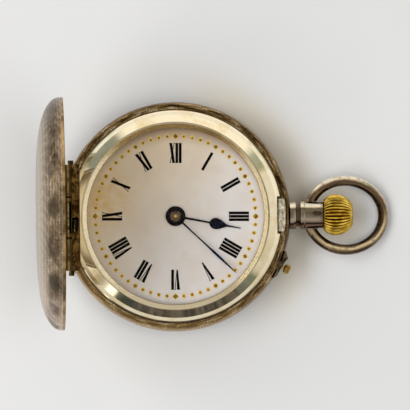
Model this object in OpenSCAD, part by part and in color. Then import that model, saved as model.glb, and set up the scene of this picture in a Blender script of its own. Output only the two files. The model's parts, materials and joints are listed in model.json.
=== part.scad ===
// Full hunter fob watch, keyless and pin-set, with its front cover standing open.
// Millimetres. The origin is the middle of the flat that the back cover rests on.
// +Z is towards the dial, +Y towards the twelve and +X towards the pendant.

/* [Case] */
// Radius of the movement's plate below its flange
movement_r = 14.5; // [13.6:0.1:15.4]
// Width of the channel round the movement, which holds the lock and lift springs
channel_w = 1.05; // [1.0:0.05:1.2]
// Thickness of the band between that channel and the covers' outer edge
band_wall = 1.65; // [1.6:0.05:1.8]
// How far the band stands proud of the covers
band_proud = 0.15; // [0.1:0.05:0.2]
// Wall of the two outer covers
cover_wall = 0.5; // [0.4:0.05:0.55]
// Height of the plain rim round each outer cover
rim_band_h = 0.5; // [0.4:0.05:0.6]
// Height of the front cover's dome above its plain rim
front_dome_h = 3.7; // [3.5:0.1:4.0]
// Wall of the inner dust cover
cuvette_wall = 0.35; // [0.3:0.05:0.4]
// Room between the back cover and the dust cover
cuvette_gap = 0.7; // [0.6:0.05:0.8]

/* [Bezel and crystal] */
// How far the crystal's edge lies inside the dial's edge
crystal_inset = 0.35; // [0.3:0.01:0.4]
// Thickness of the crystal
crystal_t = 0.4; // [0.3:0.05:0.5]
// Rise of the crystal from its edge to its middle
crystal_rise = 0.3; // [0.2:0.05:0.5]
// Height of the bezel's peak above the band
bezel_h = 1.65; // [1.6:0.05:1.8]
// Width of the gilt lip inside the crystal's edge
lip_w = 0.65; // [0.5:0.05:0.75]

/* [Hinges] */
// Radius of the front hinge's knuckles
front_knuckle_r = 0.6; // [0.5:0.05:0.65]
// Length of the front hinge
front_hinge_l = 16.7; // [15.5:0.1:17.5]
// Length of the front cover's own knuckle
front_middle_l = 4.9; // [4.4:0.1:5.2]
// Radius of the back hinge's knuckles
back_knuckle_r = 0.45; // [0.4:0.05:0.5]
// Length of the back hinge
back_hinge_l = 18.2; // [17.6:0.1:18.6]
// Radius of both hinge pins
hinge_pin_r = 0.22; // [0.18:0.01:0.25]
// Angle at which the front cover stands open
front_open = 87; // [80:1:88]

/* [Pendant, crown and bow] */
// Length of the pendant from the band to its end
pendant_l = 5.2; // [5.0:0.1:5.4]
// Radius of the pendant's neck
pendant_r = 2.1; // [2.0:0.05:2.2]
// Radius of the crown at its fullest
crown_r = 3.22; // [3.0:0.02:3.4]
// Length of the crown
crown_l = 4.7; // [4.5:0.1:5.0]
// Number of flutes round the crown
crown_flutes = 34; // [24:2:38]
// Radius of the winding stem
stem_r = 0.45; // [0.4:0.01:0.5]
// How far the crown pushes in to open the front cover
crown_travel = 0.5; // [0.4:0.05:0.55]
// Radius of the bow's wire
bow_wire_r = 0.82; // [0.75:0.01:0.9]
// Distance of the bow's pivot from the pendant's end
bow_pivot_back = 2.0; // [1.9:0.1:2.2]
// Half the bow's length, from side to side of its loop along the stem
bow_half_l = 6.4; // [6.3:0.1:6.6]
// Half the bow's width
bow_half_w = 5.46; // [5.3:0.02:5.6]

/* [Pin set] */
// Radius of the push-piece's shank
pin_set_r = 0.28; // [0.25:0.01:0.3]
// Radius of the push-piece's head
pin_head_r = 0.74; // [0.66:0.01:0.8]
// How far the push-piece travels
pin_travel = 0.5; // [0.4:0.05:0.5]
// Angle of the push-piece round the band, from the pendant
pin_angle = -26; // [-27:0.5:-25]

/* [Dial and hands] */
// Thickness of the enamelled dial
dial_t = 0.7; // [0.6:0.05:0.8]
// Distance from the minute hand's tip to the bezel's lip
minute_hand_gap = 0.9; // [0.7:0.05:1.5]
// Distance from the hour hand's tip to the bezel's lip
hour_hand_gap = 3.44; // [3.1:0.02:4.0]
// Radius of the hour hand's boss
hour_boss_r = 1.56; // [1.4:0.02:1.7]
// Time shown, in hours after twelve
shown_hour = 3.3714; // [0:0.01:11.99]

/* [Movement heights] */
// Thickness of the winding wheels under the bridges
winding_wheel_t = 0.35; // [0.3:0.01:0.4]
// Thickness of the bridges and cocks
bridge_t = 0.65; // [0.6:0.05:0.75]
// Room for the train between the bridges and the plate
train_gap = 1.7; // [1.65:0.01:1.8]
// Thickness of the plate
plate_t = 0.7; // [0.65:0.01:0.8]
// Room for the motion work between the plate and the dial
motion_gap = 0.6; // [0.55:0.01:0.7]

/* [Train, in hundredths of the movement's radius] */
// Module of the barrel and the centre pinion
barrel_pitch = 1.0; // [0.98:0.01:1.01]
// Module of the centre wheel and the third pinion
centre_pitch = 0.724; // [0.71:0.002:0.736]
// Module of the third wheel and the fourth pinion
third_pitch = 0.655; // [0.641:0.002:0.669]
// Module of the fourth wheel and the escape pinion
fourth_pitch = 0.586; // [0.572:0.002:0.6]
// Radius of the escape wheel over its teeth
escape_size = 16.2; // [15.5:0.1:16.5]
// Radius of the balance
balance_size = 27.6; // [26.2:0.1:27.9]

/* [Hidden] */

// Clearances: between fixed neighbours, in a press fit, in a running fit and round moving parts
seam = 0.05;
press_gap = 0.01;
run_gap = 0.03;
part_gap = 0.15;
// Overlap that joins two shapes of one solid
eps = 0.01;
$fn = 64;

// Radii of the case, worked outwards from the movement
flange_r = movement_r + 0.7;
wall_in_r = flange_r + channel_w;
cover_r = wall_in_r + band_wall;
band_r = cover_r + band_proud;
ledge_in_r = movement_r + 0.1;
dial_r = flange_r - 0.3;
crystal_r = dial_r - crystal_inset;
opening_r = crystal_r - lip_w;
bezel_r = cover_r - 1.2;
cuvette_r = wall_in_r + part_gap;

// Heights, worked upwards from the table
cuvette_z = cover_wall + cuvette_gap;
screw_head_t = 0.3;
wheel_z = cuvette_z + cuvette_wall + 0.4 + screw_head_t;
bridge_z = wheel_z + winding_wheel_t + seam;
bridge_top_z = bridge_z + bridge_t;
plate_z = bridge_top_z + train_gap;
plate_top_z = plate_z + plate_t;
dial_z = plate_top_z + motion_gap;
dial_top_z = dial_z + dial_t;
band_top_z = dial_top_z - 0.1;
front_rim_z = band_top_z + 0.1;
back_rim_z = bridge_top_z + 0.3;
band_z = back_rim_z + seam;
ledge_z = plate_z - 0.1;
ledge_top_z = ledge_z + 0.4;
stem_z = ledge_z;
over_z = 2 * band_top_z;

// Hinges, at the left of the case
front_axis_x = -(cover_r - 0.9);
front_axis_z = front_rim_z - 1.0;
back_axis_x = -(cover_r - 1.4);
back_axis_z = back_rim_z + 0.7;
hinge_flat_x = -(wall_in_r + part_gap);
back_flat_x = front_axis_x;
block_in_x = -(dial_r + part_gap);
front_knuckle_in = front_middle_l / 2 + seam;
cuvette_knuckle_l = 4.8;
back_knuckle_in = cuvette_knuckle_l / 2 + 0.1;
back_knuckle_out = back_hinge_l / 2 - 2.7;

// Catch and springs in the channel
catch_x = cover_r - 1.7;
catch_l = 5.1;
catch_t = 0.4;
catch_travel = 0.18;
catch_slot_x = catch_x - catch_travel - 0.07;
spring_z = band_z + 0.1;
spring_h = 1.0;
spring_t = 0.3;
spring_r = wall_in_r - 0.65;
lift_tip_x = -(spring_r + 0.3);
spring_foot_r = wall_in_r - 0.55;
spring_pad_r = 0.42;
spring_screw_r = 0.2;
spring_foot_angle = 40;
spring_screw_angles = [spring_foot_angle, 180 + spring_foot_angle];

// Pendant, crown and bow
pendant_x = band_r + 0.02;
pendant_end_x = pendant_x + pendant_l;
pendant_bore_r = pendant_r / 2;
collar_l = pendant_l - bow_pivot_back - bow_wire_r - 0.08;
bow_x = pendant_end_x - bow_pivot_back;
bow_pin_r = 0.3;
bow_centre_u = sqrt(1 - pow(pendant_r / bow_half_w, 2)) * bow_half_l;
bow_droop = asin((stem_z - bow_wire_r) / (bow_centre_u + bow_half_l));
crown_x = pendant_end_x + 0.06;
crown_end_x = crown_x + crown_l;
stem_end_x = crown_x + crown_l * 0.6;

// Pin set
pin_z = ledge_top_z + 0.42;
pin_in_r = flange_r + part_gap;
pin_head_at = band_r + 1.35;
guard_h = 2 * (pin_head_r + part_gap + 0.2);

// Train: counts, modules and places, in the plan of the movement
unit_r = movement_r / 100;
barrel_teeth = 80;
wheel_teeth = 80;
third_teeth = 75;
escape_teeth = 15;
leaves = 10;
escape_leaves = 8;
barrel_module = barrel_pitch * unit_r;
centre_module = centre_pitch * unit_r;
third_module = third_pitch * unit_r;
fourth_module = fourth_pitch * unit_r;
escape_r = escape_size * unit_r;
balance_r = balance_size * unit_r;
fork_l = 18.14 * unit_r;
roller_r = 4.14 * unit_r;
line_angle = -12.3;
centre_at = [0, 0];
barrel_at = polar((barrel_teeth + leaves) * barrel_module / 2, 59.3);
third_at = polar((wheel_teeth + leaves) * centre_module / 2, 185);
fourth_at = third_at + polar((third_teeth + leaves) * third_module / 2, -72.6);
escape_at = fourth_at + polar((wheel_teeth + escape_leaves) * fourth_module / 2, -31.1);
pallet_at = escape_at + polar(escape_r + 4.48 * unit_r, line_angle);
balance_at = pallet_at + polar(fork_l, line_angle);

// Levels of the train, as depths below the plate
third_level = 0.2;
fork_level = 0.25;
barrel_level = 0.52;
fourth_level = 0.58;
balance_level = 0.9;
centre_level = 0.95;
spring_level = 1.35;
wheel_t = 0.16;
barrel_wheel_t = 0.26;
leaf_over = 0.1;
rim_w = 0.42;
tooth_root = 0.5;
tooth_tip = 0.22;
pivot_r = 0.12;
pivot_l = 0.3;
arbor_r = 0.25;
jewel_r = 0.45;
jewel_t = 0.25;

// Barrel
drum_r = wheel_root_r(barrel_teeth, barrel_module) - 0.25;
drum_wall = 0.3;
barrel_z = plate_z - barrel_level - barrel_wheel_t;
barrel_recess = 0.4;
barrel_hub_r = 0.8;
barrel_pivot_r = 0.4;

// Winding work, with the crown wheel on the stem's line
winding_leaves = 12;
contrate_teeth = 36;
crown_teeth = 33;
ratchet_teeth = 40;
winding_module = 1.149 * unit_r;
spur_module = 1.379 * unit_r;
winding_distance = (crown_teeth + ratchet_teeth) * spur_module / 2 + run_gap;
crown_wheel_at = [barrel_at[0] + sqrt(pow(winding_distance, 2) - pow(barrel_at[1], 2)), 0];
contrate_r = contrate_teeth * winding_module / 2;
contrate_w = 0.5;
crown_post_r = 0.9;
winding_screw_l = 1.0;
winding_head_r = 1.4;
winding_pitch_r = winding_leaves * winding_module / 2;
winding_tip_r = winding_pitch_r + 0.1;
contrate_top_z = stem_z - winding_pitch_r + 0.08;
pinion_x = crown_wheel_at[0] + contrate_r - 0.4;
pinion_l = 0.8;

// Motion work
cannon_leaves = 12;
minute_teeth = 36;
minute_leaves = 10;
hour_teeth = 40;
motion_distance = 20 * unit_r;
minute_at = polar(motion_distance, 110);
minute_module = 2 * motion_distance / (cannon_leaves + minute_teeth);
hour_module = 2 * motion_distance / (minute_leaves + hour_teeth);
minute_wheel_z = plate_top_z + 0.07;
hour_wheel_z = plate_top_z + 0.32;
cannon_r = 0.62;
hour_pipe_r = cannon_r + 0.3;
hour_hand_z = dial_top_z + 0.25;
minute_hand_z = hour_hand_z + 0.35;
hand_t = 0.14;
minute_hand_l = opening_r - minute_hand_gap;
hour_hand_l = opening_r - hour_hand_gap;
minute_angle = 90 - 360 * (shown_hour - floor(shown_hour));
hour_angle = 90 - 30 * shown_hour;
setting_pivot = polar(81.4 * unit_r, -38);
setting_nose = [33.8 * unit_r, -27.6 * unit_r];

// Feet of the bridges, near the plate's edge, and what holds them and the dial
foot_post_r = 7.6 * unit_r;
pallet_post_r = 5.5 * unit_r;
bar_r = 6.2 * unit_r;
wide_bar_r = 6.9 * unit_r;
cock_r = 8.6 * unit_r;
pallet_bar_r = 3.8 * unit_r;
bridge_arm_r = 9.6 * unit_r;
bridge_feet = [polar(86.9 * unit_r, 100), polar(84.8 * unit_r, 22), polar(86.9 * unit_r, -15)];
centre_foot = polar(80 * unit_r, 150);
third_foot = polar(80.7 * unit_r, 187);
fourth_foot = polar(81.4 * unit_r, 225);
escape_foot = polar(83.4 * unit_r, 262);
balance_foot = polar(82.1 * unit_r, -28);
pallet_foot = polar(75.2 * unit_r, -81.5);
bar_feet = [centre_foot, third_foot, fourth_foot, escape_foot, balance_foot];
bar_pivots = [centre_at, third_at, fourth_at, escape_at, balance_at];
click_at = barrel_at + polar(38.6 * unit_r, line_of(barrel_at, bridge_feet[0]));
click_post_r = 0.3;
screw_shank_r = 0.3;
screw_head_r = 0.62;
screw_hole_l = 0.4;
case_screw_at = movement_r - 0.75;
case_screw_angles = [62, 242];
dial_foot_r = 0.35;
dial_foot_at = dial_r - 2.4;
dial_foot_angles = [30, 150, 285];
dial_rest_r = dial_r - 1.4;

function polar(r, a) = [r * cos(a), r * sin(a)];
function unit(v) = v / norm(v);
function line_of(a, b) = atan2(b[1] - a[1], b[0] - a[0]);
function reversed(list) = [for (i = [len(list) - 1:-1:0]) list[i]];

// Outline of a toothed wheel: each tooth is a trapezium on a root circle
function teeth(n, root, tip, root_share = tooth_root, tip_share = tooth_tip, turn = 0) = [
    for (i = [0:n - 1])
        for (corner = [[root, -root_share], [tip, -tip_share], [tip, tip_share], [root, root_share]])
            polar(corner[0], (i + corner[1] / 2) * 360 / n + turn)
];

function wheel_root_r(n, m) = m * (n / 2 - 1.3);
function wheel_tip_r(n, m) = m * (n / 2 + 0.9);

// Outline of a strip that spirals outwards from r0 to r1
function spiral(r0, r1, turns, half_t, steps_per_turn = 24) = let (
    steps = steps_per_turn * turns,
    step = 360 / steps_per_turn
) concat(
    [for (i = [0:steps]) polar(r0 + (r1 - r0) * i / steps - half_t, i * step)],
    [for (i = [steps:-1:0]) polar(r0 + (r1 - r0) * i / steps + half_t, i * step)]
);

// Points of a dome from its rim to its middle, of radius r and height h
function dome(r, h, z, up, step = 6) = [
    for (t = [0:step:90]) [r * sqrt(cos(t)), z + up * h * sin(t)]
];

module place(at, z = 0) {
    translate([at[0], at[1], z]) children();
}

module both_sides() {
    children();
    mirror([0, 1, 0]) children();
}

module cylinder_from_to(z0, z1, r) {
    translate([0, 0, z0]) cylinder(h = z1 - z0, r = r);
}

module block(x0, x1, y0, y1, z0, z1) {
    translate([x0, y0, z0]) cube([x1 - x0, y1 - y0, z1 - z0]);
}

// A round hole that comes in from below and ends at a height
module drill(at, r, to = over_z) {
    place(at) cylinder_from_to(-1, to, r);
}

// Turns +Z to point outwards along the stem's axis
module along_stem(x = 0) {
    translate([x, 0, stem_z]) rotate([0, 90, 0]) children();
}

// Turns +Z to point outwards along the push-piece's axis
module along_pin(at = 0) {
    rotate(pin_angle) translate([at, 0, pin_z]) rotate([0, 90, 0]) children();
}

module rod_x(x0, x1, r) {
    along_stem(x0) cylinder(h = x1 - x0, r = r);
}

// A revolved profile about the stem's axis, given as [x, r] points
module turned_x(points) {
    along_stem() rotate_extrude() polygon([for (p = points) [p[1], p[0]]]);
}

// A knuckle, pin or bore on a hinge's axis, from y0 to y1
module knuckle(x, z, r, y0, y1) {
    translate([x, y1, z]) rotate([90, 0, 0]) cylinder(h = y1 - y0, r = r);
}

module front_knuckle(r, y0, y1) {
    knuckle(front_axis_x, front_axis_z, r, y0, y1);
}

module back_knuckle(r, y0, y1) {
    knuckle(back_axis_x, back_axis_z, r, y0, y1);
}

// A straight arm with a round end at b, a little narrower than that end
module arm_2d(a, b, r) {
    half_w = 0.92 * r;
    translate(b) circle(r);
    translate(a) rotate(line_of(a, b)) translate([0, -half_w]) square([norm(b - a), 2 * half_w]);
}

module bar_2d(a, b, r) {
    translate(a) circle(r);
    arm_2d(a, b, r);
}

module gear_2d(n, m, turn = 0) {
    polygon(teeth(n, wheel_root_r(n, m), wheel_tip_r(n, m), turn = turn));
}

// A train wheel: toothed rim, hub and arms
module wheel_2d(n, m, turn, hub, arms = 5) {
    root = wheel_root_r(n, m);
    arm_w = 0.28;
    difference() {
        gear_2d(n, m, turn);
        circle(root - rim_w);
    }
    circle(hub);
    for (i = [0:arms - 1]) {
        rotate(i * 360 / arms + turn) translate([hub / 2, -arm_w / 2])
            square([root - (rim_w + hub) / 2, arm_w]);
    }
}

module pinion_2d(n, m, turn) {
    polygon(teeth(n, m * (n / 2 - 1.4), m * (n / 2 + 0.5), 0.42, 0.2, turn));
}

// An arbor with a pivot at each end, from the bridge's jewel to a hole in the plate
module arbor(at, r = arbor_r) {
    end_gap = 0.12;
    place(at) cylinder_from_to(bridge_top_z - pivot_l, plate_z + pivot_l, pivot_r);
    place(at) cylinder_from_to(bridge_top_z + end_gap, plate_z - end_gap, r);
}

// Case

module band_profile() {
    half_h = (band_top_z - band_z) / 2;
    mid_z = (band_top_z + band_z) / 2;
    barrelling = 0.4;
    polygon(concat(
        [[wall_in_r, band_z], [wall_in_r, ledge_z], [ledge_in_r, ledge_z], [ledge_in_r, ledge_top_z]],
        [[wall_in_r, ledge_top_z], [wall_in_r, band_top_z]],
        [for (t = [1:-0.2:-1]) [band_r - barrelling * pow(abs(t), 3), mid_z + half_h * t]]
    ));
}

// Outer knuckles of both hinges, with what joins them to the band
module case_knuckles() {
    front_knuckle(front_knuckle_r, front_knuckle_in, front_hinge_l / 2);
    block(front_axis_x, hinge_flat_x + 0.6, front_knuckle_in, front_hinge_l / 2,
        front_axis_z - front_knuckle_r, front_axis_z + front_knuckle_r);
    back_knuckle(back_knuckle_r, back_knuckle_out + seam, back_hinge_l / 2);
    block(back_axis_x, back_axis_x + 1.4, back_knuckle_out + seam, back_hinge_l / 2 - 0.6,
        back_axis_z - back_knuckle_r, back_axis_z + back_knuckle_r);
}

// Room for the covers' knuckles and for what joins them to their rims
module knuckle_room() {
    room = back_knuckle_out + seam;
    front_knuckle(front_knuckle_r + seam, -front_knuckle_in, front_knuckle_in);
    back_knuckle(back_knuckle_r + seam, -room, room);
    block(-band_r, back_axis_x + back_knuckle_r + seam, -room, room, 0, back_axis_z);
}

module case_middle() {
    color("#5a4527")
    difference() {
        union() {
            difference() {
                union() {
                    rotate_extrude($fn = 128) band_profile();
                    // block beside the front hinge
                    block(hinge_flat_x, block_in_x, -front_hinge_l / 2, front_hinge_l / 2,
                        plate_top_z + seam, band_top_z + seam);
                }
                // flat on which the hinges lie, below the covers' sweep
                block(-2 * band_r, hinge_flat_x, -band_r, band_r, 0, over_z);
            }
            both_sides() case_knuckles();
        }
        knuckle_room();
        front_knuckle(hinge_pin_r + press_gap, -front_hinge_l, front_hinge_l);
        back_knuckle(hinge_pin_r + press_gap, -back_hinge_l, back_hinge_l);
        // slots for the lift spring's tip and for the catch
        block(-wall_in_r, lift_tip_x + 2 * spring_t, -2.2, 0, 0, over_z);
        block(catch_slot_x - spring_t, cover_r - 0.45, -catch_l / 2 - 0.25, catch_l / 2 + 0.1, 0, over_z);
        rod_x(movement_r - 1, band_r + 1, pendant_bore_r);
        along_pin(movement_r) cylinder(h = band_r, r = pin_set_r + run_gap);
        for (a = spring_screw_angles) {
            drill(polar(spring_foot_r, a), spring_screw_r + press_gap, ledge_top_z + 1);
        }
    }
}

module bezel() {
    peak_z = band_top_z + bezel_h;
    seat_r = crystal_r + run_gap;
    foot_z = band_top_z + 0.02;
    skirt_r = wall_in_r - seam;
    color("#e8d5ae")
    difference() {
        rotate_extrude($fn = 128) polygon([
            // lip, crystal's groove and peak
            [opening_r, peak_z - 0.75],
            [opening_r, peak_z - 0.65],
            [seat_r, peak_z - 0.5],
            [seat_r, peak_z - 0.05],
            [crystal_r + 0.15, peak_z],
            [crystal_r + 0.25, peak_z],
            // slope and outer edge
            [bezel_r - 0.73, band_top_z + 0.6],
            [bezel_r - 0.2, band_top_z + 0.35],
            [bezel_r, band_top_z + 0.2],
            [bezel_r, foot_z],
            // skirt that drops into the channel and clears the dial
            [skirt_r, foot_z],
            [skirt_r, dial_z - 0.1],
            [flange_r + 0.4, dial_z - 0.1],
            [flange_r + 0.1, dial_top_z],
            [crystal_r - 0.1, band_top_z + 0.75]
        ]);
        block(-2 * band_r, block_in_x + seam, -band_r, band_r, 0, over_z);
        block(catch_slot_x, 2 * band_r, -catch_l / 2 - 0.4, catch_l / 2 + 0.4, 0, over_z);
    }
}

module crystal() {
    edge_z = band_top_z + bezel_h - 0.48;
    color("#dfe8ea", 0.35) rotate_extrude($fn = 128) polygon(concat(
        [for (t = [0:0.1:1]) [crystal_r * t, edge_z + crystal_rise * (1 - t * t)]],
        [for (t = [1:-0.1:0]) [crystal_r * t, edge_z + crystal_t + crystal_rise * (1 - t * t)]]
    ));
}

// A cover's bowl: a plain rim, then a dome, with a wall all over
module bowl(r, h, wall, rim, z, up) {
    rotate_extrude($fn = 128) polygon(concat(
        [[r, z]],
        dome(r, h, z + up * rim, up),
        reversed(dome(r - wall, h - wall, z + up * rim, up)),
        [[r - wall, z]]
    ));
}

module closed_front_cover() {
    half_l = front_middle_l / 2;
    difference() {
        union() {
            bowl(cover_r, front_dome_h, cover_wall, rim_band_h, front_rim_z, 1);
            front_knuckle(front_knuckle_r, -half_l, half_l);
            block(front_axis_x - front_knuckle_r, front_axis_x, -half_l, half_l,
                front_axis_z, front_rim_z + rim_band_h / 2);
        }
        front_knuckle(hinge_pin_r + run_gap, -front_middle_l, front_middle_l);
    }
}

module front_cover() {
    color("#b3a795")
    translate([front_axis_x, 0, front_axis_z]) rotate([0, -front_open, 0])
        translate([-front_axis_x, 0, -front_axis_z]) closed_front_cover();
}

module front_hinge_pin() {
    color("#6a6a66") front_knuckle(hinge_pin_r, -front_hinge_l / 2, front_hinge_l / 2);
}

module back_cover() {
    dome_h = back_rim_z - rim_band_h;
    flat_half_l = 5;
    color("#b3a795")
    difference() {
        union() {
            difference() {
                bowl(cover_r, dome_h + seam, cover_wall + seam, rim_band_h, back_rim_z, -1);
                block(-2 * cover_r, back_flat_x, -cover_r, cover_r, -1, back_rim_z + 1);
                // flat that the watch rests on
                block(-cover_r, cover_r, -cover_r, cover_r, -1, 0);
            }
            // flat wall beside the hinge
            intersection() {
                block(back_flat_x, back_flat_x + cover_wall, -flat_half_l, flat_half_l, 0, back_rim_z);
                rotate_extrude($fn = 128) polygon(concat(
                    [[0, back_rim_z], [cover_r, back_rim_z]],
                    dome(cover_r, dome_h, back_rim_z - rim_band_h, -1)
                ));
            }
            both_sides() {
                back_knuckle(back_knuckle_r, back_knuckle_in, back_knuckle_out);
                block(back_axis_x - back_knuckle_r, back_axis_x, back_knuckle_in, back_knuckle_out,
                    back_rim_z - rim_band_h / 2, back_axis_z);
            }
        }
        back_knuckle(hinge_pin_r + run_gap, -back_hinge_l, back_hinge_l);
    }
}

module cuvette() {
    half_l = cuvette_knuckle_l / 2;
    rim_h = 0.3;
    color("#c9b37c")
    difference() {
        union() {
            bowl(cuvette_r, back_rim_z - cuvette_z - rim_h, cuvette_wall, rim_h, back_rim_z, -1);
            back_knuckle(back_knuckle_r, -half_l, half_l);
            block(back_axis_x + 0.1, back_axis_x + back_knuckle_r, -half_l, half_l,
                back_rim_z - 0.25, back_axis_z);
        }
        back_knuckle(hinge_pin_r + run_gap, -back_hinge_l, back_hinge_l);
    }
}

module back_hinge_pin() {
    color("#6a6a66") back_knuckle(hinge_pin_r, -back_hinge_l / 2, back_hinge_l / 2);
}

// Springs in the channel

// The curved strip of a case spring, from its free end to its screwed foot
module spring_strip(from) {
    translate([0, 0, spring_z]) difference() {
        union() {
            rotate([0, 0, from]) rotate_extrude(angle = spring_foot_angle - from, $fn = 128)
                translate([spring_r - spring_t / 2, 0]) square([spring_t, spring_h]);
            place(polar(spring_foot_r, spring_foot_angle)) cylinder(h = spring_h, r = spring_pad_r);
        }
        place(polar(spring_foot_r, spring_foot_angle), -1)
            cylinder(h = spring_h + 2, r = spring_screw_r + run_gap);
    }
}

module lock_spring() {
    half_l = catch_l / 2;
    head_z = band_top_z + 0.25;
    nose_h = 0.45;
    stem_room = stem_r + 0.25;
    color("#8d949a")
    difference() {
        union() {
            spring_strip(6);
            block(spring_r - spring_t, catch_x + catch_t, 1.3, half_l, spring_z, spring_z + spring_h);
            block(catch_x, catch_x + catch_t, -half_l, half_l, spring_z, head_z);
            // nose that holds the front cover's lip
            intersection() {
                block(catch_x, cover_r, -half_l, half_l, head_z - nose_h, head_z);
                cylinder(h = over_z, r = cover_r - cover_wall - 0.1, $fn = 128);
            }
        }
        // fork that straddles the stem
        rod_x(catch_x - 1, catch_x + 1, stem_room);
        block(catch_x - 1, catch_x + 1, -stem_room, stem_room, 0, stem_z);
    }
}

module lift_spring() {
    tip_y = -1.9;
    tip_w = 1.5;
    color("#6d7378") {
        rotate(180) spring_strip(4);
        block(lift_tip_x, -spring_r + spring_t / 2, tip_y, tip_y + tip_w, spring_z, spring_z + spring_h);
        block(lift_tip_x, lift_tip_x + spring_t, tip_y, tip_y + tip_w, spring_z, band_top_z - 0.2);
    }
}

module spring_screws() {
    head_h = 0.22;
    color("#4a5560") for (a = spring_screw_angles) {
        place(polar(spring_foot_r, a)) {
            cylinder_from_to(spring_z - 0.1, ledge_top_z - 0.1, spring_screw_r);
            cylinder_from_to(spring_z - head_h - run_gap, spring_z - run_gap, spring_pad_r - seam);
        }
    }
}

// Pendant, crown and bow

module pendant() {
    groove_r = pendant_r - 0.35;
    collar_r = pendant_r + 0.12;
    edge = 0.1;
    color("#8d8478")
    difference() {
        turned_x([
            [pendant_x - 1, 0],
            // first collar, which meets the band
            [pendant_x - 1, collar_r - edge],
            [pendant_x + collar_l * 0.22, collar_r],
            [pendant_x + collar_l * 0.37, collar_r - edge],
            // groove
            [pendant_x + collar_l * 0.41, groove_r + edge],
            [pendant_x + collar_l * 0.52, groove_r],
            [pendant_x + collar_l * 0.65, groove_r + edge],
            // second collar
            [pendant_x + collar_l * 0.7, collar_r],
            [pendant_x + collar_l * 0.8, collar_r + edge / 2],
            [pendant_x + collar_l * 0.93, collar_r],
            // neck, on which the bow swings
            [pendant_x + collar_l, pendant_r],
            [pendant_end_x - edge, pendant_r],
            [pendant_end_x, pendant_r - edge],
            [pendant_end_x, 0]
        ]);
        cylinder(h = over_z, r = pendant_x, $fn = 128);
        rod_x(0, crown_end_x, pendant_bore_r);
        translate([bow_x, 0, stem_z]) rotate([90, 0, 0])
            cylinder(h = 4 * pendant_r, r = bow_pin_r + run_gap, center = true);
    }
}

// Fluted outline of the crown, seen along the stem
module crown_flute_2d() {
    step = 360 / crown_flutes;
    root = crown_r * 0.91;
    tip = crown_r * 1.02;
    polygon([
        for (i = [0:crown_flutes - 1])
            for (k = [0:3])
                polar(root + (tip - root) * sin(k * 45), (i + k / 4) * step)
    ]);
}

module crown() {
    // share of the crown's length, and of its radius there
    profile = [
        [0, 0], [0, 0.72], [0.06, 0.8], [0.14, 0.89], [0.24, 0.97], [0.36, 1], [0.52, 0.98], [0.68, 0.9],
        [0.82, 0.77], [0.92, 0.61], [0.98, 0.4], [1, 0.2], [1, 0]
    ];
    color("#b8862b")
    difference() {
        intersection() {
            turned_x([for (p = profile) [crown_x + crown_l * p[0], crown_r * p[1]]]);
            along_stem(crown_x - 1) linear_extrude(crown_l + 2) crown_flute_2d();
        }
        // recess that slides over the pendant's end, and the stem's hole
        rod_x(crown_x - 1, crown_x + crown_travel + 0.2, pendant_r + 0.08);
        rod_x(crown_x - 1, stem_end_x, stem_r + press_gap);
    }
}

module stem() {
    shoulder_x = catch_x + catch_t + crown_travel - catch_travel + seam;
    shoulder_l = 0.35;
    collar_w = 0.6;
    color("#7c858c") {
        rod_x(crown_wheel_at[0] + crown_post_r + crown_travel + 0.2, stem_end_x, stem_r);
        // shoulder that pushes the lock spring inwards
        rod_x(shoulder_x, shoulder_x + shoulder_l, pendant_bore_r - 0.1);
        // collar that runs in the pendant
        rod_x(pendant_end_x - 2 * collar_w, pendant_end_x - collar_w, pendant_bore_r - run_gap);
    }
}

// A round wire that runs round an oval, leaving a gap of twice the angle from on its -X side
module oval_wire(half_l, half_w, r, from, steps = 44, sides = 14) {
    points = [
        for (i = [0:steps])
            let (a = from - 180 + (360 - 2 * from) * i / steps)
            let (outward = unit([cos(a) / half_l, sin(a) / half_w]))
            let (middle = [half_l * cos(a), half_w * sin(a)])
                for (k = [0:sides - 1])
                    let (ring = middle + r * cos(k * 360 / sides) * outward)
                        [ring[0], ring[1], r * sin(k * 360 / sides)]
    ];
    function at(i, k) = i * sides + k % sides;
    polyhedron(points, concat(
        [[for (k = [sides - 1:-1:0]) at(0, k)], [for (k = [0:sides - 1]) at(steps, k)]],
        [for (i = [0:steps - 1]) for (k = [0:sides - 1]) [at(i, k), at(i + 1, k + 1), at(i + 1, k)]],
        [for (i = [0:steps - 1]) for (k = [0:sides - 1]) [at(i, k), at(i, k + 1), at(i + 1, k + 1)]]
    ));
}

// Oval bow, which droops from its pivot to the table
module bow() {
    side_y = pendant_r + 0.06;
    pin_l = 0.9;
    color("#8d8478")
    translate([bow_x, 0, stem_z]) rotate([0, bow_droop, 0]) {
        difference() {
            translate([bow_centre_u, 0, 0])
                oval_wire(bow_half_l, bow_half_w, bow_wire_r, asin(pendant_r / bow_half_w) - 6);
            // ends cut square beside the neck
            block(-2 * bow_half_l, bow_half_l / 2, -side_y, side_y, -2 * bow_wire_r, 2 * bow_wire_r);
        }
        both_sides() translate([0, side_y + 0.34, 0]) rotate([90, 0, 0]) cylinder(h = pin_l, r = bow_pin_r);
    }
}

module pin_set() {
    // share of the head's radius: across, and along the push-piece
    profile = [[0, -0.8], [0.6, -0.7], [1, -0.35], [1, 0.3], [0.8, 0.62], [0.35, 0.8], [0, 0.8]];
    color("#c9a24a") {
        along_pin(pin_in_r) cylinder(h = pin_head_at - pin_in_r, r = pin_set_r);
        along_pin(pin_head_at) rotate_extrude() polygon(pin_head_r * profile);
    }
}

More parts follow.
